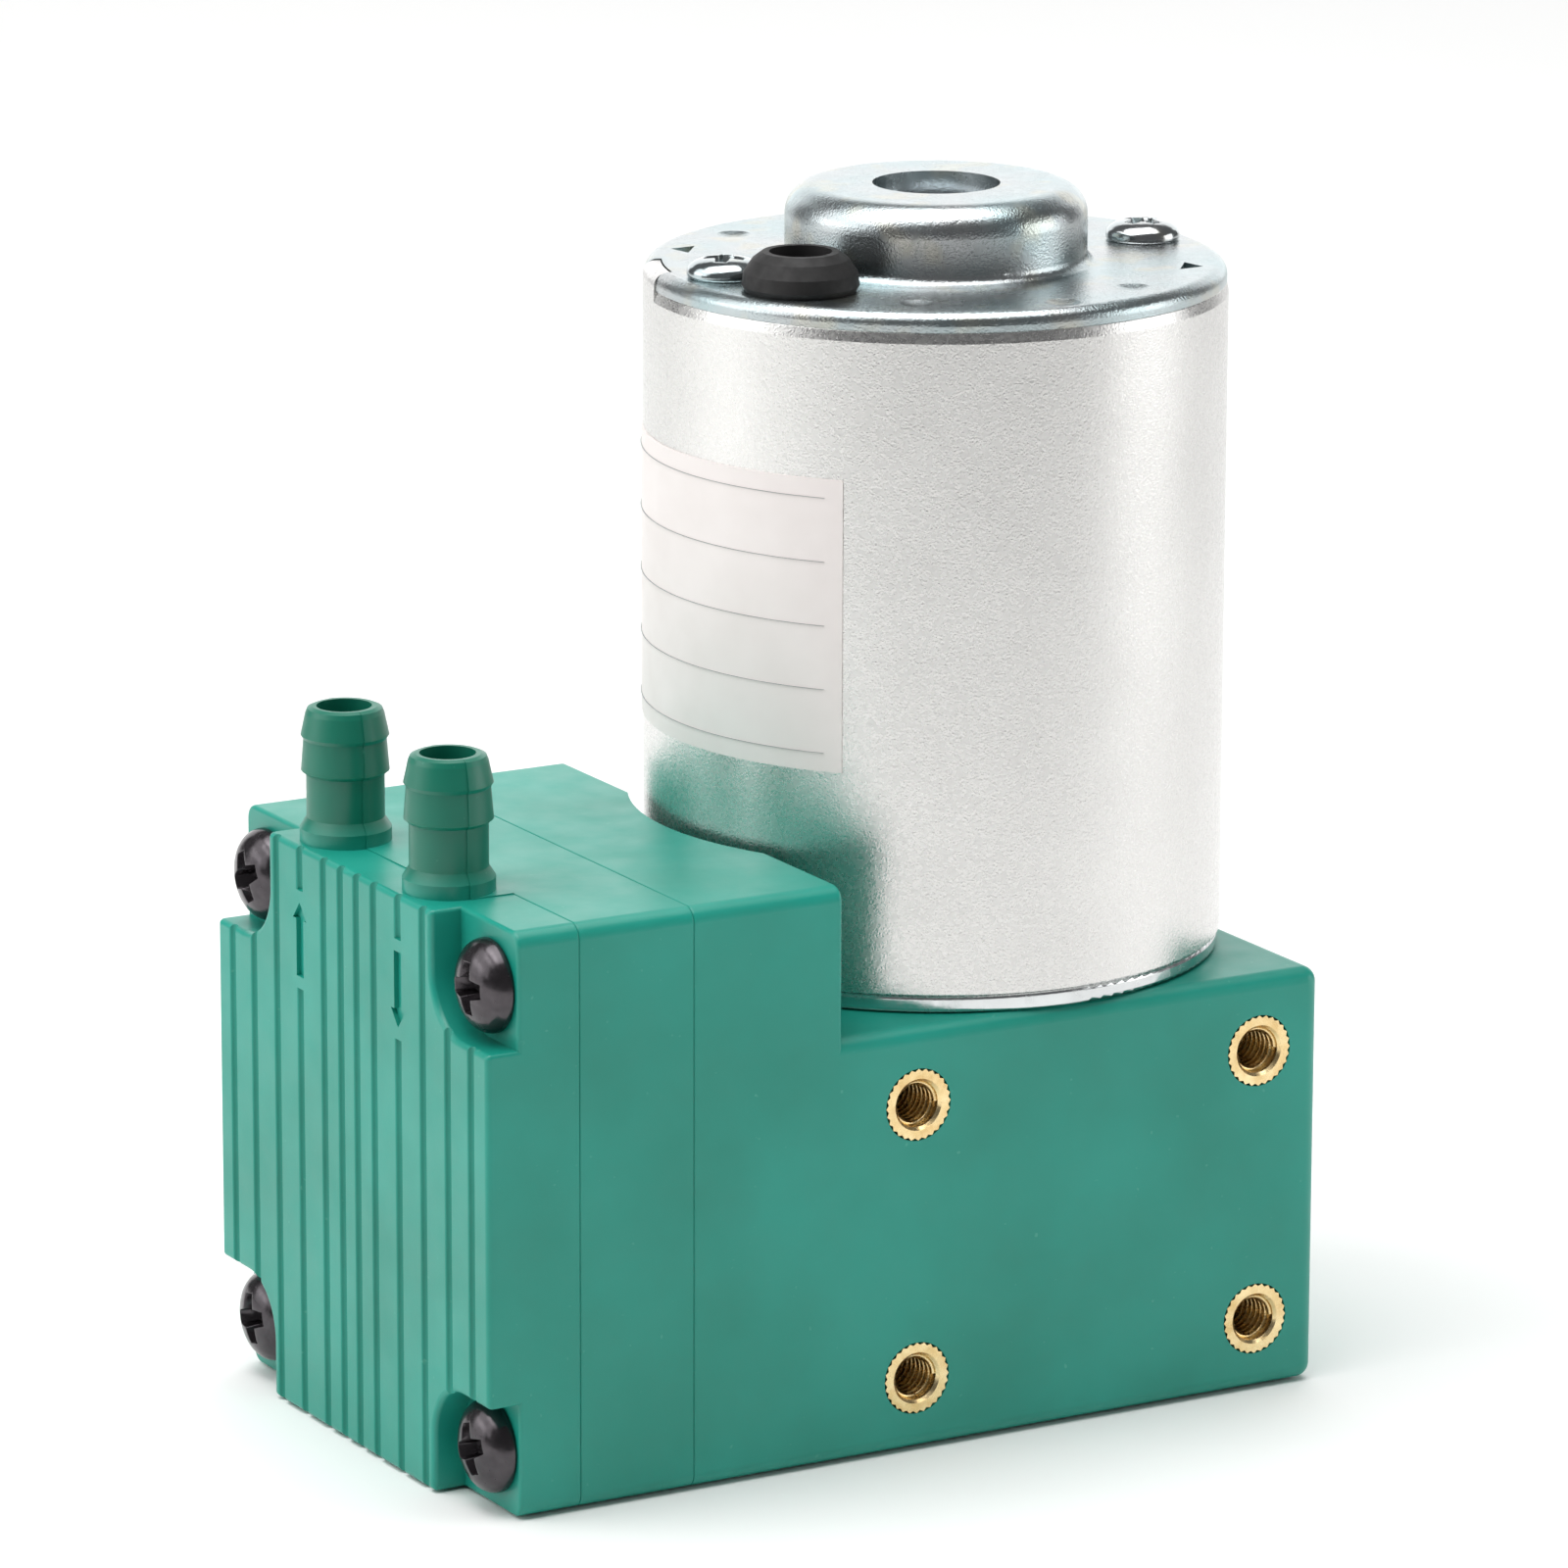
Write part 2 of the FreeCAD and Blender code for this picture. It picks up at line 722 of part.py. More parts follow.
def sheet_prism(x_low, x_high):
    """Rounded rectangle of the valve sheet between two places along X."""
    low, high = head_mid_z - sheet_half_height, head_mid_z + sheet_half_height
    return soft_block((x_low, x_high), (-sheet_half_width, sheet_half_width), (low, high), sheet_corner_r)


def valve_sheet():
    """Rubber sheet that seals cover and plate, with a window for each flap."""
    sheet = sheet_prism(plate_front_x, plate_front_x + sheet_thickness)
    windows = [moved(flap_outline(flap_window_gap, plate_front_x - past, case_front_x), y=side * port_offset)
               for side in (-1, 1)]
    return cut_all(sheet, windows)


def valve_flap(side):
    """Flap that hangs in its window from a round root."""
    low = plate_front_x + flap_gap
    high = plate_front_x + sheet_thickness - flap_gap
    half_neck = flap_neck_width / 2
    tongue = flap_outline(0.0, low, high)
    above = box((low - past, high + past), (-half_neck - past, half_neck + past),
                (flap_hinge_z, flap_hinge_z + past))
    middle = (low + high) / 2
    root = bar(flap_root_r, V(middle, -half_neck, flap_hinge_z), V(middle, half_neck, flap_hinge_z))
    return moved(fuse_all([tongue.cut(above), root]), y=side * port_offset)


def diaphragm():
    """Moulded rubber disc: thick rim, sloping fold and flat middle, drawn at the front of its stroke."""
    def depth(x):
        return case_front_x - x

    rim_back = depth(case_front_x + diaphragm_rim_thickness)
    rim_web = depth(case_front_x + diaphragm_web_thickness)
    fold_r = diaphragm_free_r - diaphragm_fold_inset
    profile = [(m4_thread_r, depth(web_front_x)), (diaphragm_flat_r, depth(web_front_x)),
               (fold_r, 0), (diaphragm_rim_r, 0), (diaphragm_rim_r, rim_back),
               (diaphragm_free_r + diaphragm_rim_step, rim_back), (fold_r, rim_web),
               (diaphragm_flat_r - diaphragm_flat_step, depth(web_back_x)), (m4_thread_r, depth(web_back_x))]
    return faced_forward(turned(profile), case_front_x, 0, head_mid_z)


def clamp_disc():
    """Disc in front of the diaphragm, countersunk for its screw."""
    edge = clamp_disc_thickness / 2
    profile = [(0, 0), (clamp_disc_r, 0), (clamp_disc_r, edge), (clamp_disc_r - edge, clamp_disc_thickness),
               (0, clamp_disc_thickness)]
    sink = moved(countersink(m4_thread_r, clamp_disc_thickness + past, m4_head_r, clamp_screw_cone),
                 z=clamp_disc_thickness)
    return faced_forward(turned(profile).cut(sink), web_front_x, 0, head_mid_z)


def support_disc():
    """Disc behind the diaphragm."""
    profile = [(m4_thread_r, 0), (support_disc_r - support_disc_edge, 0), (support_disc_r, support_disc_edge),
               (support_disc_r, support_disc_thickness), (m4_thread_r, support_disc_thickness)]
    return faced_forward(turned(profile), support_back_x, 0, head_mid_z)


def clamp_screw():
    """Screw through both discs into the rod."""
    screw = flat_screw(m4_shank_r, clamp_screw_length, m4_head_r - seat_gap, clamp_screw_cone)
    return faced_forward(screw, clamp_front_x, 0, head_mid_z)


def connecting_rod():
    """Rod with a round boss at the discs and a ring around the bearing."""
    low, high = head_mid_z - big_end_height / 2, head_mid_z + big_end_height / 2
    ring = upright(big_end_r, low, high, crank_pin_x)
    shank = box((support_back_x + rod_shank_start, crank_pin_x),
                (-rod_shank_width / 2, rod_shank_width / 2), (low, high))
    boss = bar(rod_boss_r, V(support_back_x, 0, head_mid_z),
               V(support_back_x + rod_boss_length, 0, head_mid_z))
    bore = upright(rod_bearing_outer_r + seat_gap, low - past, rod_bearing_high_z, crank_pin_x)
    lip_bore = upright(rod_bearing_outer_r - big_end_lip, low - past, high + past, crank_pin_x)
    thread_end = clamp_front_x + clamp_screw_length + pilot_extra_depth
    thread = bar(m4_thread_r, V(support_back_x - past, 0, head_mid_z), V(thread_end, 0, head_mid_z))
    return cut_all(fuse_all([ring, shank, boss]), [bore, lip_bore, thread])


def eccentric():
    """Crank on the shaft: clamping hub with counterweight, shoulder and offset pin."""
    pin = upright(crank_pin_r - seat_gap, crank_shoulder_z, rod_bearing_high_z + crank_pin_end, crank_pin_x)
    shoulder = upright(crank_pin_r + crank_shoulder, crank_shoulder_z, rod_bearing_low_z, crank_pin_x)
    hub = upright(crank_hub_r, crank_hub_low_z, crank_shoulder_z + overlap)
    weight_low_z = crank_hub_low_z + counterweight_lift
    weight = upright(counterweight_r, weight_low_z, weight_low_z + counterweight_height)
    weight = weight.common(box((0, counterweight_r), (-counterweight_r, counterweight_r), (0, base_height)))
    body = fuse_all([pin, shoulder, hub, weight])
    shaft_hole = upright(shaft_r + seat_gap, 0, base_height)
    return cut_all(body, [shaft_hole, set_screw_bar(m4_thread_r, crank_hub_r + past)])


def set_screw_bar(radius, outer):
    """Bar from the shaft outwards along -X at the height of the set screw."""
    z = crank_hub_low_z + set_screw_height
    return bar(radius, V(-shaft_r, 0, z), V(-outer, 0, z))


def eccentric_set_screw():
    """Grub screw with a hexagon socket, tight on the shaft."""
    z = crank_hub_low_z + set_screw_height
    outer = crank_hub_r - set_screw_sink
    corners = [V(*polar(hex_socket_r, 60 * index), 0) for index in range(6)]
    socket = Part.Face(Part.makePolygon(corners + corners[:1])).extrude(V(0, 0, hex_socket_depth + past))
    return set_screw_bar(set_screw_r, outer).cut(faced_forward(socket, hex_socket_depth - outer, 0, z))


def ball_bearing(name, bore_r, outer_r, width, low, ball_r, count, x=0.0):
    """Outer ring, inner ring, balls and cage of one deep groove bearing, as named nodes."""
    pitch_r = (bore_r + outer_r) / 2
    middle = low + width / 2
    groove = Part.makeTorus(pitch_r, ball_r + race_gap, V(x, 0, middle))
    land = ball_r * bearing_land_share
    outer = tube(outer_r, pitch_r + land, low, low + width, x).cut(groove)
    inner = tube(pitch_r - land, bore_r, low, low + width, x).cut(groove)
    half_cage = ball_r + cage_gap + cage_bridge
    half_wall = min(cage_half_wall, land - cage_land_gap)
    cage = tube(pitch_r + half_wall, pitch_r - half_wall, middle - half_cage, middle + half_cage, x)
    balls = []
    for index in range(count):
        angle = 360 * index / count
        ball_x, ball_y = polar(pitch_r, angle)
        end_x, end_y = polar(outer_r, angle)
        balls.append(Part.makeSphere(ball_r, V(x + ball_x, ball_y, middle)))
        cage = cage.cut(bar(ball_r + cage_gap, V(x, 0, middle), V(x + end_x, end_y, middle)))
    return {name + "_outer": outer, name + "_inner": inner, name + "_cage": cage,
            name + "_balls": Part.Compound(balls)}


def pump_case():
    """L-shaped crankcase: base under the motor and a tall block that carries the head."""
    base = box((case_front_x, case_back), (-half_width, half_width), (0, base_height))
    tall = box((case_front_x, -tall_block_back), (-half_width, half_width), (0, head_height))
    body = fuse_all([base, tall])

    def outer_edge(edge):
        bounds = edge.BoundBox
        along_side = runs_along(edge, V(1, 0, 0)) and abs(abs(bounds.Center.y) - half_width) < tiny
        at_back = bounds.XMin > case_back - tiny
        return along_side or at_back

    def step_edge(edge):
        bounds = edge.BoundBox
        behind = bounds.XMin > -tall_block_back - tiny and bounds.XMax < 0
        on_top = bounds.ZMin > head_height - tiny
        upright_edge = runs_along(edge, V(0, 0, 1)) and bounds.ZMax > base_height + tiny
        return behind and (on_top or upright_edge)

    body = rounded_edges(body, block_edge_round, outer_edge)
    body = body.cut(upright(can_recess_r, base_height, head_height + past))
    body = rounded_edges(body, step_edge_round, step_edge)
    body = rounded_edges(body, seam_edge_round, lambda edge: in_seam(edge, case_front_x))
    return cut_all(body, crank_room() + case_front_bores() + insert_seats())


def crank_room():
    """Round room for the crank, open below, with the motor's pilot and screw holes above."""
    room = upright(crank_room_r, -past, crank_room_top_z)
    pilot = upright(pilot_r + pilot_gap, crank_room_top_z - past, base_height + past)
    recess = rounded_slab(bottom_cover_half_length, bottom_cover_half_width, -past, bottom_cover_thickness,
                          bottom_cover_corner_r)
    tools = [room, pilot, recess]
    for angle in mount_screw_angles:
        x, y = polar(mount_screw_circle_r, angle)
        tools.append(upright(m3_clearance_r, crank_room_top_z - past, base_height + past, x, y))
    for x, y in bottom_screw_places():
        tools.append(upright(bottom_screw_hole_r, 0, bottom_screw_length + pilot_extra_depth, x, y))
    return tools


def case_front_bores():
    """Diaphragm seat, disc room, rod channel and the head screws' threads in the front face."""
    front = case_front_x - past
    seat = bar(diaphragm_rim_r, V(front, 0, head_mid_z),
               V(case_front_x + diaphragm_rim_thickness, 0, head_mid_z))
    disc_room = bar(diaphragm_free_r, V(front, 0, head_mid_z), V(disc_room_back_x, 0, head_mid_z))
    half_y = rod_boss_r + crank_throw + rod_side_clearance
    half_z = rod_boss_r + rod_side_clearance
    channel = box((case_front_x, 0), (-half_y, half_y), (head_mid_z - half_z, head_mid_z + half_z))
    tools = [seat, disc_room, channel]
    thread_end = notch_floor_x + head_screw_length + pilot_extra_depth
    for y, z in head_screw_places:
        tools.append(bar(m4_thread_r, V(front, y, z), V(thread_end, y, z)))
    return tools


def insert_places():
    """Centres of the four inserts on the side face, as (x, z)."""
    return [(x, z) for x in (insert_front_x, insert_back_x) for z in (insert_low_z, insert_high_z)]


def insert_seats():
    """Stepped holes for the threaded inserts."""
    tools = []
    for x, z in insert_places():
        seat = upright(insert_body_r + seat_gap, -insert_length - past, past)
        rim = upright(insert_rim_r + seat_gap, -insert_rim_height, past)
        tools.append(faced_sideways(seat.fuse(rim), x, -half_width, z))
    return tools


def thread_inserts():
    """Four brass inserts with a knurled rim and a rounded mouth."""
    body = upright(insert_body_r, -insert_length, -insert_rim_height / 2)
    points = []
    for index in range(2 * insert_teeth):
        radius = insert_rim_r if index % 2 == 0 else insert_rim_r - insert_tooth_depth
        points.append(V(*polar(radius, 180 * index / insert_teeth), -insert_rim_height))
    rim = Part.Face(Part.makePolygon(points + points[:1])).extrude(V(0, 0, insert_rim_height))
    solid = body.fuse(rim).cut(upright(insert_bore_r, -insert_length - past, past))
    mouth = Part.makeCone(insert_bore_r, insert_bore_r + insert_mouth_round, insert_mouth_round,
                          V(0, 0, -insert_mouth_round), V(0, 0, 1))
    solid = solid.cut(mouth)
    return Part.Compound([faced_sideways(solid, x, -half_width, z) for x, z in insert_places()])


def bottom_screw_places():
    """Centres of the bottom cover's screws."""
    return [(x, y) for x in (-bottom_screw_x, bottom_screw_x) for y in (-bottom_screw_y, bottom_screw_y)]


def facing_down(shape, x, y, z):
    """Turn a shape upside down and set its origin down at a point."""
    shape = shape.copy()
    shape.rotate(V(0, 0, 0), V(1, 0, 0), 180)
    shape.translate(V(x, y, z))
    return shape


def bottom_cover():
    """Plate that closes the crank room, flush with the underside."""
    plate = rounded_slab(bottom_cover_half_length - bottom_cover_gap,
                         bottom_cover_half_width - bottom_cover_gap,
                         0, bottom_cover_thickness, bottom_cover_corner_r - bottom_cover_gap)
    sink = countersink(bottom_screw_hole_r, bottom_cover_thickness + past, bottom_screw_head_r + seat_gap,
                       countersink_depth)
    return cut_all(plate, [facing_down(sink, x, y, 0) for x, y in bottom_screw_places()])


def bottom_cover_screws():
    """Four countersunk screws, flush with the underside."""
    screw = flat_screw(bottom_screw_shank_r, bottom_screw_length, bottom_screw_head_r, countersink_depth)
    return Part.Compound([facing_down(screw, x, y, 0) for x, y in bottom_screw_places()])


def head_screws():
    """Four long pan head screws through cover and plate into the case."""
    screws = []
    for turn, (y, z) in zip(head_screw_turns, head_screw_places):
        screw = pan_screw(m4_shank_r, head_screw_length, m4_head_r, m4_head_height, turn)
        screws.append(faced_forward(screw, notch_floor_x, y, z))
    return Part.Compound(screws)


def motor_mount_screws():
    """Screws from the crank room up into the motor's front bell."""
    length = motor_wall + can_bottom_gap + bell_spigot_height - mount_screw_end_gap
    screws = []
    for angle in mount_screw_angles:
        x, y = polar(mount_screw_circle_r, angle)
        screw = pan_screw(m3_shank_r, length, m3_head_r, m3_head_height, angle)
        screws.append(facing_down(screw, x, y, crank_room_top_z))
    return Part.Compound(screws)


def front_bell():
    """Motor front: flange, pilot in the case and the front bearing's seat."""
    pilot_low_z = base_height - pilot_height
    spigot_top_z = bell_top_z + bell_spigot_height
    seat_wall_r = motor_bearing_outer_r + bell_seat_wall
    shaft_hole_r = shaft_r + shaft_hole_gap
    profile = [(shaft_hole_r, pilot_low_z), (pilot_r, pilot_low_z), (pilot_r, base_height),
               (bell_r, base_height), (bell_r, bell_top_z), (can_inner_r - seat_gap, bell_top_z),
               (can_inner_r - seat_gap, spigot_top_z), (seat_wall_r, spigot_top_z),
               (seat_wall_r, front_bearing_high_z), (motor_bearing_outer_r + seat_gap, front_bearing_high_z),
               (motor_bearing_outer_r + seat_gap, front_bearing_low_z), (shaft_hole_r, front_bearing_low_z)]
    bell = turned(profile)
    bell = rounded_edges(bell, bell_edge_round,
                         lambda edge: rim_at(edge, bell_r, base_height) or rim_at(edge, bell_r, bell_top_z))
    holes = [upright(m3_hole_r, base_height - past, spigot_top_z + past, *polar(mount_screw_circle_r, angle))
             for angle in mount_screw_angles]
    return cut_all(bell, holes)


def motor_can():
    """Drawn steel tube: tapered upper lip, a small nick in it and a tab that stands in the cap's notch."""
    lip_z = can_top_z - can_lip_height
    lip_r = can_r - can_lip_depth
    can = turned([(can_inner_r, bell_top_z), (can_r, bell_top_z), (can_r, lip_z), (lip_r, can_top_z),
                  (can_inner_r, can_top_z)])
    can = rounded_edges(can, can_edge_round,
                        lambda edge: rim_at(edge, lip_r, can_top_z) or rim_at(edge, can_r, bell_top_z))
    nick = box((can_inner_r - past, can_r + past), (-rim_nick_width / 2, rim_nick_width / 2),
               (can_top_z - rim_nick_depth, can_top_z + past))
    nick.rotate(V(0, 0, 0), V(0, 0, 1), rim_nick_angle)
    tab = ring_sector(can_r, can_inner_r, lip_z - overlap, can_tab_top_z, *can_tab_angles)
    tab = rounded_edges(tab, cap_rim_round, lambda edge: rim_at(edge, can_r, can_tab_top_z))
    return fuse_all([can.cut(nick), tab])


def end_cap():
    """Pressed steel cap: rounded rim with a notch, high round boss, dimples and stake marks."""
    seat_r = motor_bearing_outer_r + seat_gap
    profile = [(seat_r, cap_under_z), (cap_r, cap_under_z), (cap_r, cap_top_z), (boss_r, cap_top_z),
               (boss_r, boss_top_z), (boss_hole_r, boss_top_z), (boss_hole_r, rear_bearing_high_z),
               (seat_r, rear_bearing_high_z)]
    cap = turned(profile)
    cap = rounded_edges(cap, cap_rim_round, lambda edge: rim_at(edge, cap_r, cap_top_z))
    cap = rounded_edges(cap, boss_foot_round, lambda edge: rim_at(edge, boss_r, cap_top_z))
    cap = rounded_edges(cap, boss_shoulder_round, lambda edge: rim_at(edge, boss_r, boss_top_z))
    lead_hole_r = grommet_neck_r + seat_gap
    tools = [upright(lead_hole_r, cap_under_z - past, cap_top_z + past, *grommet_place())]
    for x, y in cap_screw_places():
        tools.append(upright(m3_clearance_r, cap_under_z - past, cap_top_z + past, x, y))
    dent_r = (dimple_r ** 2 + dimple_depth ** 2) / (2 * dimple_depth)
    for inset, angle in dimple_insets_and_angles:
        x, y = polar(cap_r - inset, angle)
        tools.append(Part.makeSphere(dent_r, V(x, y, cap_top_z + dent_r - dimple_depth)))
    tools += [stake_mark(angle) for angle in stake_angles]
    side_gap = math.degrees(can_tab_gap / can_r)
    tab_start, tab_end = can_tab_angles
    tools.append(ring_sector(can_r + past, can_inner_r - can_tab_gap, cap_under_z - past, cap_top_z + past,
                             tab_start - side_gap, tab_end + side_gap))
    return cut_all(cap, tools)


def stake_mark(angle):
    """Three-cornered punch mark near the cap's rim."""
    corners = [(0, -stake_length / 2), (stake_width, 0), (0, stake_length / 2)]
    top = [V(stake_circle_r - stake_width / 2 + x, y, cap_top_z + tiny) for x, y in corners]
    outline = Part.Face(Part.makePolygon(top + top[:1]))
    mark = outline.extrude(V(0, 0, -stake_depth))
    mark.rotate(V(0, 0, 0), V(0, 0, 1), angle)
    return mark


def cap_screw_places():
    """Plan places of the two end cap screws."""
    return [polar(cap_screw_circle_r, cap_turn), polar(cap_screw_circle_r, cap_turn + 180)]


def grommet_place():
    """Plan place of the lead grommet."""
    return polar(grommet_circle_r, grommet_angle)


def end_cap_screws():
    """Two pan head screws that hold the brush card to the cap."""
    screws = []
    for turn, (x, y) in zip(cap_screw_turns, cap_screw_places()):
        screw = pan_screw(m3_shank_r, cap_screw_length, cap_screw_head_r, cap_screw_head_height, turn)
        screws.append(moved(screw, x, y, cap_top_z))
    return Part.Compound(screws)


def lead_grommet():
    """Rubber bush in the cap, rounded outside, with a through bore for the leads."""
    outside = [(grommet_r - step, height) for step, height in grommet_outside]
    upper = turned([(0, 0), *outside, (0, grommet_height)])
    neck = upright(grommet_neck_r, -cap_sheet, 0)
    lower = upright(grommet_lower_r, -cap_sheet - grommet_lower_height, -cap_sheet)
    bore = upright(grommet_bore_r, -cap_sheet - grommet_lower_height - past, grommet_height + past)
    x, y = grommet_place()
    return moved(fuse_all([upper, neck, lower]).cut(bore), x, y, cap_top_z)


def rating_label():
    """Bare label wrapped on the can."""
    return ring_sector(can_r + label_thickness, can_r, label_bottom_z, label_top_z,
                       label_edge_angle - label_span, label_edge_angle)


def sector(radius, low, high, start, end):
    """Upright slice of a round bar between two angles."""
    wedge = Part.makeCylinder(radius, high - low, V(0, 0, low), V(0, 0, 1), end - start)
    wedge.rotate(V(0, 0, 0), V(0, 0, 1), start)
    return wedge


def ring_sector(outer, inner, low, high, start, end):
    """Part of an upright tube between two angles."""
    return tube(outer, inner, low, high).common(sector(outer + past, low, high, start, end))


def magnets():
    """Two arc magnets inside the can."""
    ring = tube(can_inner_r - seat_gap, rotor_r + air_gap, magnet_bottom_z, magnet_top_z)
    arcs = [ring.common(sector(can_r, magnet_bottom_z, magnet_top_z, middle - magnet_half_span,
                               middle + magnet_half_span)) for middle in magnet_angles]
    return Part.Compound(arcs)


def slot_room(grow):
    """Winding space of one rotor slot, beside the +X axis, grown by a negative or positive amount."""
    step = math.pi / rotor_slots
    inner_r = rotor_hub_r - grow
    outer_r = rotor_r - rotor_tooth_tip + grow
    half_tooth = rotor_r * math.sin(step) * rotor_tooth_share - grow
    room = sector(outer_r, rotor_bottom_z, rotor_top_z, -math.degrees(step), math.degrees(step))
    room = room.cut(upright(inner_r, rotor_bottom_z, rotor_top_z))
    for side in (-1, 1):
        tooth = box((0, 2 * rotor_r), (-half_tooth, half_tooth), (rotor_bottom_z, rotor_top_z))
        tooth.rotate(V(0, 0, 0), V(0, 0, 1), side * math.degrees(step))
        room = room.cut(tooth)
    return room


def rotor_core():
    """Stack of steel sheets with one slot between neighbouring teeth."""
    core = upright(rotor_r, rotor_bottom_z, rotor_top_z)
    opening = box((rotor_hub_r + past, rotor_r + past), (-slot_opening / 2, slot_opening / 2),
                  (rotor_bottom_z, rotor_top_z))
    slot = slot_room(0.0).fuse(opening)
    tools = [upright(shaft_r + seat_gap, rotor_bottom_z, rotor_top_z)]
    for index in range(rotor_slots):
        tool = slot.copy()
        tool.rotate(V(0, 0, 0), V(0, 0, 1), 360 * index / rotor_slots)
        tools.append(tool)
    return cut_all(core, tools)


def rotor_windings():
    """Copper in the slots joined by the end turns above and below the core."""
    outer_r = rotor_r - rotor_tooth_tip - winding_gap
    inner_r = rotor_hub_r + winding_gap
    solids = [tube(outer_r, inner_r, rotor_bottom_z - end_turn_height, rotor_bottom_z),
              tube(outer_r, inner_r, rotor_top_z, rotor_top_z + end_turn_height)]
    fill = slot_room(-winding_gap)
    for index in range(rotor_slots):
        coil = fill.copy()
        coil.rotate(V(0, 0, 0), V(0, 0, 1), 360 * index / rotor_slots)
        solids.append(coil)
    return fuse_all(solids)


def commutator():
    """Copper commutator on the shaft with slits between its segments."""
    body = tube(commutator_r, shaft_r + seat_gap, commutator_bottom_z, commutator_top_z)
    slits = []
    for index in range(rotor_slots):
        slit = box((commutator_r - commutator_slit_depth, commutator_r + past),
                   (-commutator_slit / 2, commutator_slit / 2), (commutator_bottom_z, commutator_top_z))
        slit.rotate(V(0, 0, 0), V(0, 0, 1), 360 * (index + 0.5) / rotor_slots)
        slits.append(slit)
    return cut_all(body, slits)


def motor_shaft():
    """Shaft from the crank to the rear bearing, with small chamfers."""
    end_r = shaft_r - shaft_chamfer
    return turned([(0, shaft_bottom_z), (end_r, shaft_bottom_z), (shaft_r, shaft_bottom_z + shaft_chamfer),
                   (shaft_r, shaft_top_z - shaft_chamfer), (end_r, shaft_top_z), (0, shaft_top_z)])


def brush_room(grow):
    """Space of one brush on the +Y side, grown all round across its length."""
    middle = (commutator_bottom_z + commutator_top_z) / 2
    half_x = brush_width / 2 + grow
    half_z = brush_height / 2 + grow
    return half_x, middle - half_z, middle + half_z


def brush_card():
    """Insulating card under the cap with a box for each brush and a post for each screw."""
    card_top_z = brush_card_bottom_z + brush_card_thickness
    card = tube(can_inner_r - seat_gap, brush_card_hole_r, brush_card_bottom_z, card_top_z)
    solids = [card]
    rooms = []
    for side in (-1, 1):
        wall_x, low, _ = brush_room(brush_gap + brush_wall)
        near, far = commutator_r + brush_box_gap, brush_box_end_y
        solids.append(box((-wall_x, wall_x), sorted((side * near, side * far)),
                          (low, brush_card_bottom_z + overlap)))
        room_x, low, high = brush_room(brush_gap)
        rooms.append(box((-room_x, room_x), sorted((side * (near - past), side * (far - brush_wall))),
                         (low, high)))
    for x, y in cap_screw_places():
        solids.append(upright(card_post_r, card_top_z - overlap, cap_under_z, x, y))
        rooms.append(upright(m3_hole_r, brush_card_bottom_z - past, cap_under_z + past, x, y))
    rooms.append(upright(grommet_bore_r + brush_card_lead_gap, brush_card_bottom_z - past, card_top_z + past,
                         *grommet_place()))
    return cut_all(fuse_all(solids), rooms)


def brushes():
    """Two carbon brushes that ride on the commutator."""
    half_x, low, high = brush_room(0.0)
    hollow = upright(commutator_r + brush_gap, low - past, high + past)
    solids = []
    for side in (-1, 1):
        ends = sorted((side * (commutator_r - past), side * (commutator_r + brush_length)))
        solids.append(box((-half_x, half_x), ends, (low, high)).cut(hollow))
    return Part.Compound(solids)


def brush_springs():
    """Coil springs behind the brushes."""
    start = commutator_r + brush_length
    end = brush_box_end_y - brush_wall
    middle = (commutator_bottom_z + commutator_top_z) / 2
    height = end - start - 2 * spring_wire_r
    path = Part.makeHelix(height / spring_turns, height, spring_coil_r)
    section = Part.Wire(Part.makeCircle(spring_wire_r, V(spring_coil_r, 0, 0), V(0, 1, 0)))
    spring = Part.Wire(path).makePipeShell([section], True, True)
    spring.translate(V(0, 0, spring_wire_r))
    springs = []
    for side in (-1, 1):
        coil = spring.copy()
        coil.rotate(V(0, 0, 0), V(1, 0, 0), -90 * side)
        coil.translate(V(0, side * start, middle))
        springs.append(coil)
    return Part.Compound(springs)


def build_nodes():
    """Every node of the pump by name."""
    nodes = {
        "head_cover": head_cover(),
        "head_screws": head_screws(),
        "valve_sheet": valve_sheet(),
        "inlet_flap": valve_flap(-1),
        "outlet_flap": valve_flap(1),
        "valve_plate": valve_plate(),
        "diaphragm": diaphragm(),
        "clamp_disc": clamp_disc(),
        "clamp_screw": clamp_screw(),
        "support_disc": support_disc(),
        "connecting_rod": connecting_rod(),
        "eccentric": eccentric(),
        "eccentric_set_screw": eccentric_set_screw(),
        "pump_case": pump_case(),
        "thread_inserts": thread_inserts(),
        "bottom_cover": bottom_cover(),
        "bottom_cover_screws": bottom_cover_screws(),
        "motor_mount_screws": motor_mount_screws(),
        "front_bell": front_bell(),
        "motor_can": motor_can(),
        "end_cap": end_cap(),
        "end_cap_screws": end_cap_screws(),
        "lead_grommet": lead_grommet(),
        "rating_label": rating_label(),
        "magnets": magnets(),
        "motor_shaft": motor_shaft(),
        "rotor_core": rotor_core(),
        "rotor_windings": rotor_windings(),
        "commutator": commutator(),
        "brush_card": brush_card(),
        "brushes": brushes(),
        "brush_springs": brush_springs(),
    }
    nodes.update(ball_bearing("rod_bearing", crank_pin_r, rod_bearing_outer_r, rod_bearing_width,
                              rod_bearing_low_z, rod_bearing_ball_r, rod_bearing_balls_count, crank_pin_x))
    for name, low in (("front_bearing", front_bearing_low_z), ("rear_bearing", rear_bearing_low_z)):
        nodes.update(ball_bearing(name, shaft_r + seat_gap, motor_bearing_outer_r, motor_bearing_width,
                                  low, motor_bearing_ball_r, motor_bearing_balls_count))
    return nodes


os.makedirs("parts", exist_ok=True)
for node, shape in build_nodes().items():
    shape.exportStep("parts/" + node + ".step")
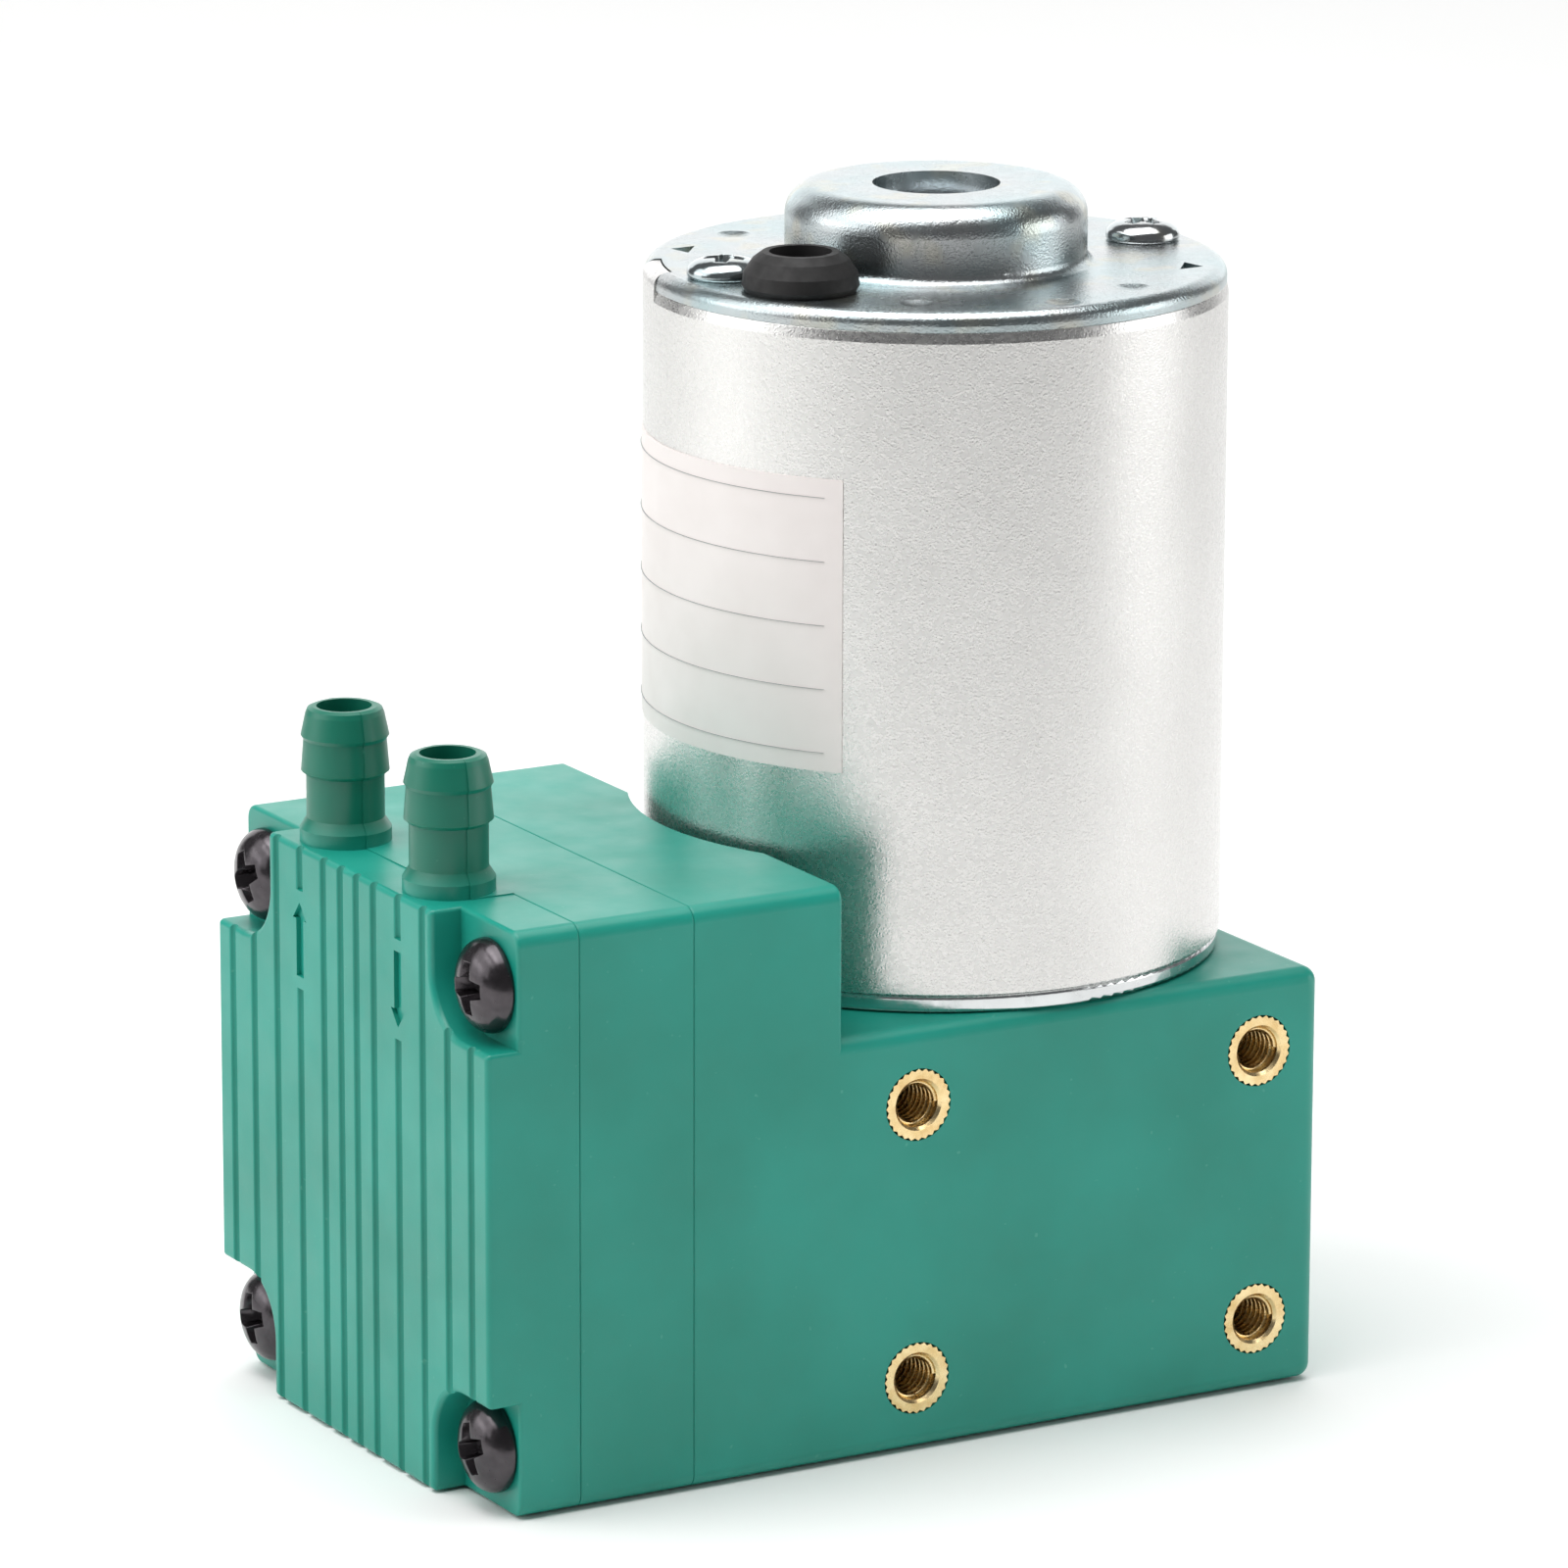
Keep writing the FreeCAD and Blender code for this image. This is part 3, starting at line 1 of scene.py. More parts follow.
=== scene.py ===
"""Looks of a small diaphragm vacuum pump: studio stage, surface finishes and fine details."""

import json
import math

import bmesh
import bpy
from bpy.props import FloatProperty, FloatVectorProperty, IntProperty, PointerProperty
from mathutils import Matrix, Vector


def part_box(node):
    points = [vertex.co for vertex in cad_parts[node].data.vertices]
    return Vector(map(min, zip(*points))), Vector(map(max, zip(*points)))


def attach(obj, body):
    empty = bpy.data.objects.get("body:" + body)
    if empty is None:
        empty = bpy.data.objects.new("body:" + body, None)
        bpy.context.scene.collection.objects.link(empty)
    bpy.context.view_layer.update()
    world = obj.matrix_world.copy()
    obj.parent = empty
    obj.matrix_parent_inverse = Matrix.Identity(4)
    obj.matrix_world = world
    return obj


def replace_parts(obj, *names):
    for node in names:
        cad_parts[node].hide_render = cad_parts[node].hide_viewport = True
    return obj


bl_info = {
    "name": "Diaphragm vacuum pump looks",
    "version": (1, 0, 0),
    "blender": (4, 5, 0),
    "location": "3D View > Sidebar > Pump",
    "description": "Finishes, fine details and a studio stage for a small diaphragm vacuum pump",
    "category": "Object",
}

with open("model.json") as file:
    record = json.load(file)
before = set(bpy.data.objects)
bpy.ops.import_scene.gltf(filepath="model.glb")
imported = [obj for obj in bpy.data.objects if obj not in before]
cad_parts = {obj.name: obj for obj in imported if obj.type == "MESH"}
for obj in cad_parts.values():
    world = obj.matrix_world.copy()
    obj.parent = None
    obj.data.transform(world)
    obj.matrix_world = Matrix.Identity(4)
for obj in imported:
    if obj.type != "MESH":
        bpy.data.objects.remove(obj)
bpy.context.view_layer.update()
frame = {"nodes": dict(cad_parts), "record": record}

MM = 0.001

# Scale at which one wave of the wave texture's bands or rings is one metre long
ONE_WAVE = math.pi / 10

# Socket places on the colour Mix node, whose sockets share their names
MIX_SHARE = 0
MIX_FIRST = 6
MIX_SECOND = 7
MIX_COLOUR = 2


def linear(hex_code):
    """Linear colour with full alpha from an sRGB hex code."""
    parts = []
    for start_place in (1, 3, 5):
        part = int(hex_code[start_place:start_place + 2], 16) / 255
        parts.append(part / 12.92 if part <= 0.04045 else ((part + 0.055) / 1.055) ** 2.4)
    return (*parts, 1.0)


def colour(name, hex_code, description):
    """Colour property whose default is an sRGB hex code."""
    return FloatVectorProperty(name=name, description=description, subtype="COLOR", size=4,
                               min=0.0, max=1.0, default=linear(hex_code))


def length(name, default_mm, description):
    """Length property in metres whose default is given in millimetres."""
    return FloatProperty(name=name, description=description, default=default_mm * MM, min=0.0,
                         unit="LENGTH", precision=5)


def share(name, default, description):
    """Property for a share between nothing and the whole."""
    return FloatProperty(name=name, description=description, default=default, min=0.0, max=1.0,
                         subtype="FACTOR")


def power(name, default, description):
    """Property for the power of a light."""
    return FloatProperty(name=name, description=description, default=default, min=0.0, unit="POWER")


class PumpColours(bpy.types.PropertyGroup):
    """Colours of the pump's materials."""

    plastic: colour("Plastic", "#0f8977", "Moulded green housing")
    plastic_pale: colour("Plastic, pale", "#179685", "Flow marks on the housing")
    # Painted shade: a deeper green that the hose barbs take in place of the shade that falls on them
    plastic_barb_shade: colour("Plastic, painted barb shade", "#056c57", "Painted shade on the hose barbs")
    can_steel: colour("Motor can", "#dcdbd9", "Satin nickel plate on the motor can")
    zinc: colour("Zinc plate", "#b9bcbd", "Bright zinc on cap and screws")
    zinc_blue: colour("Zinc, blue tint", "#a6bbbe", "Cool tint of the passivated zinc")
    zinc_warm: colour("Zinc, warm tint", "#c9c1a8", "Warm tint of the passivated zinc")
    black_steel: colour("Black screws", "#534f52", "Oiled black oxide")
    brass: colour("Brass", "#f3dcaa", "Turned brass")
    brass_deep: colour("Brass, deep", "#d2ae70", "Tarnish on the brass")
    rubber: colour("Black rubber", "#0c0b0b", "Rubber of the lead bush")
    membrane: colour("Membrane rubber", "#232325", "Rubber of diaphragm and valves")
    label_film: colour("Label film", "#eee6e4", "Metallised film of the label")
    label_ink: colour("Label ink", "#7f8283", "Printed rules of the label")
    cast_aluminium: colour("Cast aluminium", "#cfd1d2", "Motor bell, rod and discs")
    turned_zinc: colour("Zinc alloy", "#a9abae", "Turned eccentric")
    bearing_steel: colour("Bearing steel", "#cfd2d6", "Rings, balls and shaft")
    cage_steel: colour("Cage steel", "#b5b3ae", "Pressed bearing cages")
    lamination: colour("Laminations", "#8d9094", "Stacked sheets of the rotor")
    winding: colour("Winding", "#b8602c", "Enamelled copper wire")
    commutator: colour("Commutator", "#c98a5c", "Turned copper bars")
    ferrite: colour("Ferrite", "#3a3a3d", "Sintered magnets")
    phenolic: colour("Phenolic board", "#6b4528", "Pressed laminate of the brush card")
    carbon: colour("Carbon", "#29292a", "Pressed brushes")
    spring: colour("Spring steel", "#a6a29b", "Drawn wire")
    floor: colour("Floor", "#f7f7f6", "Plain pale floor")


class PumpSizes(bpy.types.PropertyGroup):
    """Sizes of the details that the solids leave to the looks."""

    thread_pitch: length("Thread pitch", 0.7, "Distance from turn to turn in the M4 inserts")
    thread_ridge: length("Thread ridge", 0.27, "Radius round the ridge's three corners")
    rule_width: length("Rule width", 0.16, "Width of the printed rules on the label")
    rule_margin: length("Rule margin", 1.6, "Bare edge round the printed rules")
    rule_rows: IntProperty(name="Rule rows", description="Level rules on the label", default=5,
                           min=2, max=20)
    cap_head_radius: length("Cap screw head radius", 3.2, "Radius of the cap screws' heads")
    cap_head_height: length("Cap screw head height", 1.75, "Height of the cap screws' heads")
    cap_shank: length("Cap screw shank radius", 1.48, "Radius of the cap screws' shanks")
    black_head_radius: length("Head screw head radius", 4.0, "Radius of the black screws' heads")
    black_head_height: length("Head screw head height", 2.7, "Height of the black screws' heads")
    black_shank: length("Head screw shank radius", 1.98, "Radius of the black screws' shanks")
    recess_width: share("Recess width", 0.3, "Width of the recess's arms as a share of the head's radius")
    recess_reach: share("Recess reach", 0.55, "Length of the recess's arms as a share of the head's radius")
    recess_depth: share("Recess depth", 0.72, "Depth of the cross recess as a share of the head's height")
    edge_round: length("Edge round", 0.07, "Rounding of the screws' stamped edges")


class PumpStudio(bpy.types.PropertyGroup):
    """Camera and lights."""

    lens: FloatProperty(name="Lens", description="Focal length in mm on a 36 mm sensor", default=203.28,
                        min=20.0, max=400.0)
    key_power: power("Key light", 4.0, "Power of the light on the head's side")
    high_power: power("High light", 2.8, "Power of the light high above the head")
    back_power: power("Back light", 10.5, "Power of the low, wide light behind the pump")
    top_power: power("Top light", 11.0, "Power of the overhead light")
    left_power: power("Left light", 1.1, "Power of the low light on the far left")
    right_power: power("Right light", 2.3, "Power of the low light on the far right")
    room_light: FloatProperty(name="Room light", description="Strength of the even light all round",
                              default=0.14, min=0.0)


def per_mm(size_mm):
    """Texture scale that repeats a pattern over a real size."""
    return 1 / (size_mm * MM)


def add(tree, kind, inputs=None, **settings):
    """Adds one node. Settings go first, then each input takes a value or a socket to link from."""
    made = tree.nodes.new(kind)
    for name, value in settings.items():
        setattr(made, name, value)
    for name, value in (inputs or {}).items():
        if isinstance(value, bpy.types.NodeSocket):
            tree.links.new(value, made.inputs[name])
        else:
            made.inputs[name].default_value = value
    return made


def start(name, metallic=0.0):
    """New material, its tree, its shader and each point's place in the pump's frame."""
    material = bpy.data.materials.new(name)
    material.use_nodes = True
    tree = material.node_tree
    shader = tree.nodes["Principled BSDF"]
    shader.inputs["Metallic"].default_value = metallic
    place = add(tree, "ShaderNodeTexCoord").outputs["Object"]
    return material, tree, shader, place


def patchy(tree, place, size_mm, low, high, detail=3.0):
    """Value that drifts between two levels over patches of a real size."""
    cloud = add(tree, "ShaderNodeTexNoise", {"Vector": place, "Scale": per_mm(size_mm), "Detail": detail})
    level = add(tree, "ShaderNodeMapRange", {"Value": cloud.outputs[0], "From Min": 0.3, "From Max": 0.7,
                                             "To Min": low, "To Max": high})
    return level.outputs[0]


def mottled(tree, place, size_mm, first, second, low=0.0, high=1.0, detail=3.0):
    """Colour that drifts between two over patches of a real size, low and high being the second's share."""
    mix = add(tree, "ShaderNodeMix", {MIX_SHARE: patchy(tree, place, size_mm, low, high, detail),
                                      MIX_FIRST: first, MIX_SECOND: second}, data_type="RGBA")
    return mix.outputs[MIX_COLOUR]


def grained(tree, place, size_mm, height_mm, before=None, detail=2.0):
    """Normal of a surface with grain of a real size and height, on top of an earlier normal."""
    cloud = add(tree, "ShaderNodeTexNoise", {"Vector": place, "Scale": per_mm(size_mm), "Detail": detail})
    bump = add(tree, "ShaderNodeBump", {"Height": cloud.outputs[0], "Distance": height_mm * MM})
    if before is not None:
        tree.links.new(before, bump.inputs["Normal"])
    return bump.outputs[0]


def ringed(tree, place, spacing_mm):
    """Normal of a surface turned in a lathe, with shallow tool rings about the motor axis."""
    height_mm = 0.002
    rings = add(tree, "ShaderNodeTexWave", {"Vector": place, "Scale": ONE_WAVE * per_mm(spacing_mm),
                                            "Distortion": 0.4, "Detail": 1.0},
                wave_type="RINGS", rings_direction="Z")
    bump = add(tree, "ShaderNodeBump", {"Height": rings.outputs["Fac"], "Distance": height_mm * MM})
    return bump.outputs[0]


def join(tree, shader, **sockets):
    """Links sockets to the shader's inputs, named in lower case with underscores."""
    for name, socket in sockets.items():
        tree.links.new(socket, shader.inputs[name.replace("_", " ").title()])


def plastic_material(colours, barb_foot):
    """Moulded polycarbonate blend: half gloss, faint grain, cloudy flow marks, rubbed specks, and painted
    shade that darkens the hose barbs.
    """
    fade = 2.0 * MM
    material, tree, shader, place = start("moulded_green_polycarbonate")
    shader.inputs["IOR"].default_value = 1.5
    housing_tone = mottled(tree, place, 14.0, colours.plastic, colours.plastic_pale)
    # Painted shade: from the barbs' foot up, the green turns deeper to stand in for the shade on the barbs
    height = add(tree, "ShaderNodeSeparateXYZ", {"Vector": place})
    painted_barb_shade = add(tree, "ShaderNodeMapRange", {"Value": height.outputs["Z"], "From Min": barb_foot,
                                            "From Max": barb_foot + fade, "To Min": 0.0, "To Max": 1.0})
    body = add(tree, "ShaderNodeMix", {MIX_SHARE: painted_barb_shade.outputs[0], MIX_FIRST: housing_tone,
                                       MIX_SECOND: colours.plastic_barb_shade}, data_type="RGBA")
    specks = add(tree, "ShaderNodeTexNoise", {"Vector": place, "Scale": per_mm(0.7), "Detail": 1.0})
    rubbed = add(tree, "ShaderNodeMapRange", {"Value": specks.outputs[0], "From Min": 0.76,
                                              "From Max": 0.84, "To Min": 0.0, "To Max": 0.2})
    worn = add(tree, "ShaderNodeMix", {MIX_SHARE: rubbed.outputs[0], MIX_FIRST: body.outputs[MIX_COLOUR],
                                       MIX_SECOND: linear("#7cc7b1")}, data_type="RGBA")
    grain = grained(tree, place, size_mm=0.35, height_mm=0.004)
    join(tree, shader, base_color=worn.outputs[MIX_COLOUR],
         roughness=patchy(tree, place, 4.0, low=0.33, high=0.43),
         normal=grained(tree, place, size_mm=6.0, height_mm=0.01, before=grain))
    return material


def can_material(colours):
    """Drawn steel tube with satin nickel: bright, with a sparkling fine grain and slow drawing waves."""
    material, tree, shader, place = start("satin_nickel_plate", metallic=1.0)
    waves = grained(tree, place, size_mm=12.0, height_mm=0.03)
    # The grain is as coarse as it has to be to show in the render
    join(tree, shader, base_color=mottled(tree, place, 9.0, colours.can_steel, linear("#c9c8c6"), high=0.3),
         roughness=patchy(tree, place, 0.5, low=0.23, high=0.31),
         normal=grained(tree, place, size_mm=0.18, height_mm=0.032, before=waves))
    return material


def zinc_material(colours, name, roughness, peel_mm, peel_height_mm):
    """Bright zinc with a clear blue passivate: mirror-like, faintly dimpled, with cool and warm tints."""
    material, tree, shader, place = start(name, metallic=1.0)
    cool = mottled(tree, place, 8.0, colours.zinc, colours.zinc_blue, high=0.8, detail=1.0)
    join(tree, shader,
         base_color=mottled(tree, place, 3.5, cool, colours.zinc_warm, low=-0.6, high=0.35, detail=1.0),
         roughness=patchy(tree, place, 1.5, low=roughness * 0.92, high=roughness * 1.1),
         normal=grained(tree, place, peel_mm, peel_height_mm))
    return material


def black_steel_material(colours):
    """Black oxide, oiled: dark, smooth and half glossy, with a faint mottle."""
    material, tree, shader, place = start("oiled_black_oxide", metallic=0.9)
    join(tree, shader,
         base_color=mottled(tree, place, 0.8, colours.black_steel, linear("#3d3a3d"), high=0.6),
         roughness=patchy(tree, place, 0.6, low=0.16, high=0.28),
         normal=grained(tree, place, size_mm=0.25, height_mm=0.003))
    return material


def brass_material(colours):
    """Turned and knurled free-cutting brass: warm, bright, with tool lines and a little tarnish."""
    material, tree, shader, place = start("turned_brass", metallic=1.0)
    join(tree, shader, base_color=mottled(tree, place, 1.2, colours.brass, colours.brass_deep, high=0.7),
         roughness=patchy(tree, place, 0.7, low=0.18, high=0.34),
         normal=grained(tree, place, size_mm=0.2, height_mm=0.006))
    return material


def rubber_material(base, name, hex_dust):
    """Moulded rubber: nearly black and matt, with a fine skin and a trace of pale talc."""
    material, tree, shader, place = start(name)
    join(tree, shader, base_color=mottled(tree, place, 1.8, base, linear(hex_dust), high=0.5),
         roughness=patchy(tree, place, 1.0, low=0.55, high=0.72),
         normal=grained(tree, place, size_mm=0.3, height_mm=0.006))
    return material


def label_material(colours):
    """Metallised polyester film with a matt coat: pale silver that still carries soft reflections."""
    material, tree, shader, place = start("metallised_label_film", metallic=0.15)
    join(tree, shader, base_color=mottled(tree, place, 8.0, colours.label_film, linear("#e3dad7"), high=0.5),
         roughness=patchy(tree, place, 2.0, low=0.4, high=0.52),
         normal=grained(tree, place, size_mm=3.0, height_mm=0.004))
    return material


def ink_material(colours):
    """Screen-printed ink: flat grey, slightly uneven where the film shows through."""
    material, tree, shader, place = start("printed_grey_ink")
    shader.inputs["Roughness"].default_value = 0.5
    join(tree, shader, base_color=mottled(tree, place, 0.4, colours.label_ink, linear("#b9bbbb"), high=0.4),
         normal=grained(tree, place, size_mm=0.2, height_mm=0.002))
    return material


def cast_material(colours):
    """Die-cast aluminium, lightly turned: pale grey with soft mould texture."""
    material, tree, shader, place = start("die_cast_aluminium", metallic=1.0)
    join(tree, shader,
         base_color=mottled(tree, place, 3.0, colours.cast_aluminium, linear("#b3b5b7"), high=0.6),
         roughness=patchy(tree, place, 1.0, low=0.3, high=0.46),
         normal=grained(tree, place, size_mm=0.5, height_mm=0.01))
    return material


def flange_material(colours):
    """Turned flange at the motor's foot: bright, with tool rings about the motor axis."""
    material, tree, shader, place = start("turned_motor_flange", metallic=1.0)
    rings = ringed(tree, place, spacing_mm=0.4)
    join(tree, shader,
         base_color=mottled(tree, place, 3.0, colours.cast_aluminium, linear("#dfe4e4"), high=0.5),
         roughness=patchy(tree, place, 1.2, low=0.12, high=0.3),
         normal=grained(tree, place, size_mm=0.6, height_mm=0.008, before=rings))
    return material


def turned_material(clean, name, roughness, spacing_mm):
    """Turned or ground metal: clean colour with fine rings about an upright axis."""
    shade = 0.78
    dull = (*(part * shade for part in clean[:3]), 1.0)
    material, tree, shader, place = start(name, metallic=1.0)
    join(tree, shader, base_color=mottled(tree, place, 2.5, clean, dull, high=0.8),
         roughness=patchy(tree, place, 1.0, low=roughness * 0.8, high=roughness * 1.3),
         normal=ringed(tree, place, spacing_mm))
    return material


def lamination_material(colours):
    """Stack of punched sheets: level lines every half millimetre, dull grey edges."""
    material, tree, shader, place = start("stacked_sheet_steel", metallic=1.0)
    sheets = add(tree, "ShaderNodeTexWave", {"Vector": place, "Scale": ONE_WAVE * per_mm(0.5),
                                             "Distortion": 0.0}, wave_type="BANDS", bands_direction="Z")
    bump = add(tree, "ShaderNodeBump", {"Height": sheets.outputs["Fac"], "Distance": 0.04 * MM})
    steel = add(tree, "ShaderNodeMix", {MIX_SHARE: sheets.outputs["Fac"], MIX_FIRST: linear("#5c5f63"),
                                        MIX_SECOND: colours.lamination}, data_type="RGBA")
    join(tree, shader, base_color=steel.outputs[MIX_COLOUR],
         roughness=patchy(tree, place, 1.0, low=0.36, high=0.5), normal=bump.outputs[0])
    return material


def winding_material(colours):
    """Enamelled copper wire laid side by side: glossy, with wire lines a third of a millimetre wide."""
    material, tree, shader, place = start("enamelled_copper_wire", metallic=0.75)
    wires = add(tree, "ShaderNodeTexWave", {"Vector": place, "Scale": ONE_WAVE * per_mm(0.35),
                                            "Distortion": 1.5, "Detail": 1.0, "Detail Scale": 0.4},
                wave_type="BANDS", bands_direction="DIAGONAL")
    bump = add(tree, "ShaderNodeBump", {"Height": wires.outputs["Fac"], "Distance": 0.12 * MM})
    copper = add(tree, "ShaderNodeMix", {MIX_SHARE: wires.outputs["Fac"], MIX_FIRST: linear("#6e3215"),
                                         MIX_SECOND: colours.winding}, data_type="RGBA")
    join(tree, shader, base_color=copper.outputs[MIX_COLOUR],
         roughness=patchy(tree, place, 1.2, low=0.2, high=0.34), normal=bump.outputs[0])
    return material


def mineral_material(base, name, roughness, speck_mm, hex_speck):
    """Pressed powder or laminate: dull, with specks of a second colour and a dry grain."""
    material, tree, shader, place = start(name)
    cells = add(tree, "ShaderNodeTexVoronoi", {"Vector": place, "Scale": per_mm(speck_mm)})
    specks = add(tree, "ShaderNodeMapRange", {"Value": cells.outputs["Distance"], "From Min": 0.1,
                                              "From Max": 0.5, "To Min": 0.8, "To Max": 0.0})
    powder = add(tree, "ShaderNodeMix", {MIX_SHARE: specks.outputs[0], MIX_FIRST: base,
                                         MIX_SECOND: linear(hex_speck)}, data_type="RGBA")
    join(tree, shader, base_color=powder.outputs[MIX_COLOUR],
         roughness=patchy(tree, place, 1.5, low=roughness * 0.85, high=roughness * 1.2),
         normal=grained(tree, place, speck_mm, height_mm=0.012))
    return material


def dress(material, *names):
    """Gives CAD pieces a finish."""
    for name in names:
        for holder in frame["nodes"][name].material_slots:
            holder.material = material


def loose_object(mesh):
    """Object in the scene that holds a mesh and shares its name."""
    made = bpy.data.objects.new(mesh.name, mesh)
    bpy.context.scene.collection.objects.link(made)
    return made


def plain_mesh(name, shape):
    """Mesh taken from a bmesh, which is freed."""
    mesh = bpy.data.meshes.new(name)
    shape.to_mesh(mesh)
    shape.free()
    return mesh


def mesh_piece(mesh, body):
    """New piece that rides on a body."""
    piece = loose_object(mesh)
    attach(piece, body)
    return piece


def grow(tree, points, values, turns=()):
    """Plain mesh of a geometry tree grown from seed points, which may each have a turn of their own."""
    seed_mesh = bpy.data.meshes.new(tree.name + "_seed")
    seed_mesh.from_pydata(points, [], [])
    if turns:
        stored = seed_mesh.attributes.new("turn", "FLOAT_VECTOR", "POINT")
        for point, turn in zip(stored.data, turns):
            point.vector = turn
    seed = loose_object(seed_mesh)
    modifier = seed.modifiers.new("grown", "NODES")
    modifier.node_group = tree
    for item in tree.interface.items_tree:
        if item.item_type == "SOCKET" and item.in_out == "INPUT" and item.name in values:
            modifier[item.identifier] = values[item.name]
    seen = bpy.context.evaluated_depsgraph_get()
    mesh = bpy.data.meshes.new_from_object(seed.evaluated_get(seen))
    mesh.name = tree.name
    seed.modifiers.remove(modifier)
    bpy.data.objects.remove(seed)
    if turns:
        mesh.attributes.remove(mesh.attributes["turn"])
    if not mesh.polygons:
        raise RuntimeError(tree.name + " grew no faces")
    return mesh


def geometry_tree(name, inputs):
    """Empty geometry tree with a geometry input, named inputs and a geometry output."""
    tree = bpy.data.node_groups.new(name, "GeometryNodeTree")
    tree.interface.new_socket("Geometry", in_out="OUTPUT", socket_type="NodeSocketGeometry")
    tree.interface.new_socket("Points", in_out="INPUT", socket_type="NodeSocketGeometry")
    for label, kind in {**inputs, "Material": "Material"}.items():
        tree.interface.new_socket(label, in_out="INPUT", socket_type="NodeSocket" + kind)
    return tree, add(tree, "NodeGroupInput").outputs


def finish_tree(tree, copies, material):
    """Ends a tree with the copies made real and set in their material."""
    real = add(tree, "GeometryNodeRealizeInstances", {0: copies})
    finished = add(tree, "GeometryNodeSetMaterial", {"Geometry": real.outputs[0], "Material": material})
    add(tree, "NodeGroupOutput", {0: finished.outputs[0]})


def thread_tree():
    """Three-cornered ridge wound round each insert's bore."""
    tree, given = geometry_tree("insert_threads", {"Radius": "Float", "Ridge": "Float", "Turns": "Float",
                                                   "Length": "Float"})
    outward = add(tree, "ShaderNodeMath", {0: given["Ridge"], 1: -0.5}, operation="MULTIPLY")
    winding = add(tree, "ShaderNodeMath", {0: given["Radius"], 1: outward.outputs[0]}, operation="ADD")
    spiral = add(tree, "GeometryNodeCurveSpiral", {"Resolution": 40, "Rotations": given["Turns"],
                                                   "Start Radius": winding.outputs[0],
                                                   "End Radius": winding.outputs[0],
                                                   "Height": given["Length"]})
    level = add(tree, "GeometryNodeSetCurveNormal", {"Curve": spiral.outputs[0]}, mode="Z_UP")
    ridge = add(tree, "GeometryNodeCurvePrimitiveCircle", {"Resolution": 3, "Radius": given["Ridge"]})
    wound = add(tree, "GeometryNodeCurveToMesh", {"Curve": level.outputs[0], "Fill Caps": True,
                                                  "Profile Curve": ridge.outputs[0]})
    placed = add(tree, "GeometryNodeInstanceOnPoints", {"Points": given["Points"],
                                                        "Instance": wound.outputs[0],
                                                        "Rotation": (-math.pi / 2, 0.0, 0.0)})
    finish_tree(tree, placed.outputs[0], given["Material"])
    return tree


def rule_tree():
    """Level printed rules on a round wall, one from each seed point's height."""
    tree, given = geometry_tree("label_rules", {"Radius": "Float", "Start": "Float", "Sweep": "Float",
                                                "Width": "Float", "Thickness": "Float"})
    arc = add(tree, "GeometryNodeCurveArc", {"Resolution": 96, "Radius": given["Radius"],
                                             "Start Angle": given["Start"], "Sweep Angle": given["Sweep"]})
    level = add(tree, "GeometryNodeSetCurveNormal", {"Curve": arc.outputs[0]}, mode="Z_UP")
    strip = add(tree, "GeometryNodeCurvePrimitiveQuadrilateral", {"Width": given["Width"],
                                                                  "Height": given["Thickness"]})
    rule = add(tree, "GeometryNodeCurveToMesh", {"Curve": level.outputs[0], "Fill Caps": True,
                                                 "Profile Curve": strip.outputs[0]})
    placed = add(tree, "GeometryNodeInstanceOnPoints", {"Points": given["Points"],
                                                        "Instance": rule.outputs[0]})
    finish_tree(tree, placed.outputs[0], given["Material"])
    return tree


def screw_tree(name):
    """Copies of one screw, each turned as its seed point says."""
    tree, given = geometry_tree(name, {"Screw": "Object"})
    one = add(tree, "GeometryNodeObjectInfo", {"Object": given["Screw"]})
    turn = add(tree, "GeometryNodeInputNamedAttribute", {"Name": "turn"}, data_type="FLOAT_VECTOR")
    placed = add(tree, "GeometryNodeInstanceOnPoints", {"Points": given["Points"],
                                                        "Instance": one.outputs["Geometry"],
                                                        "Rotation": turn.outputs["Attribute"]})
    finish_tree(tree, placed.outputs[0], given["Material"])
    return tree


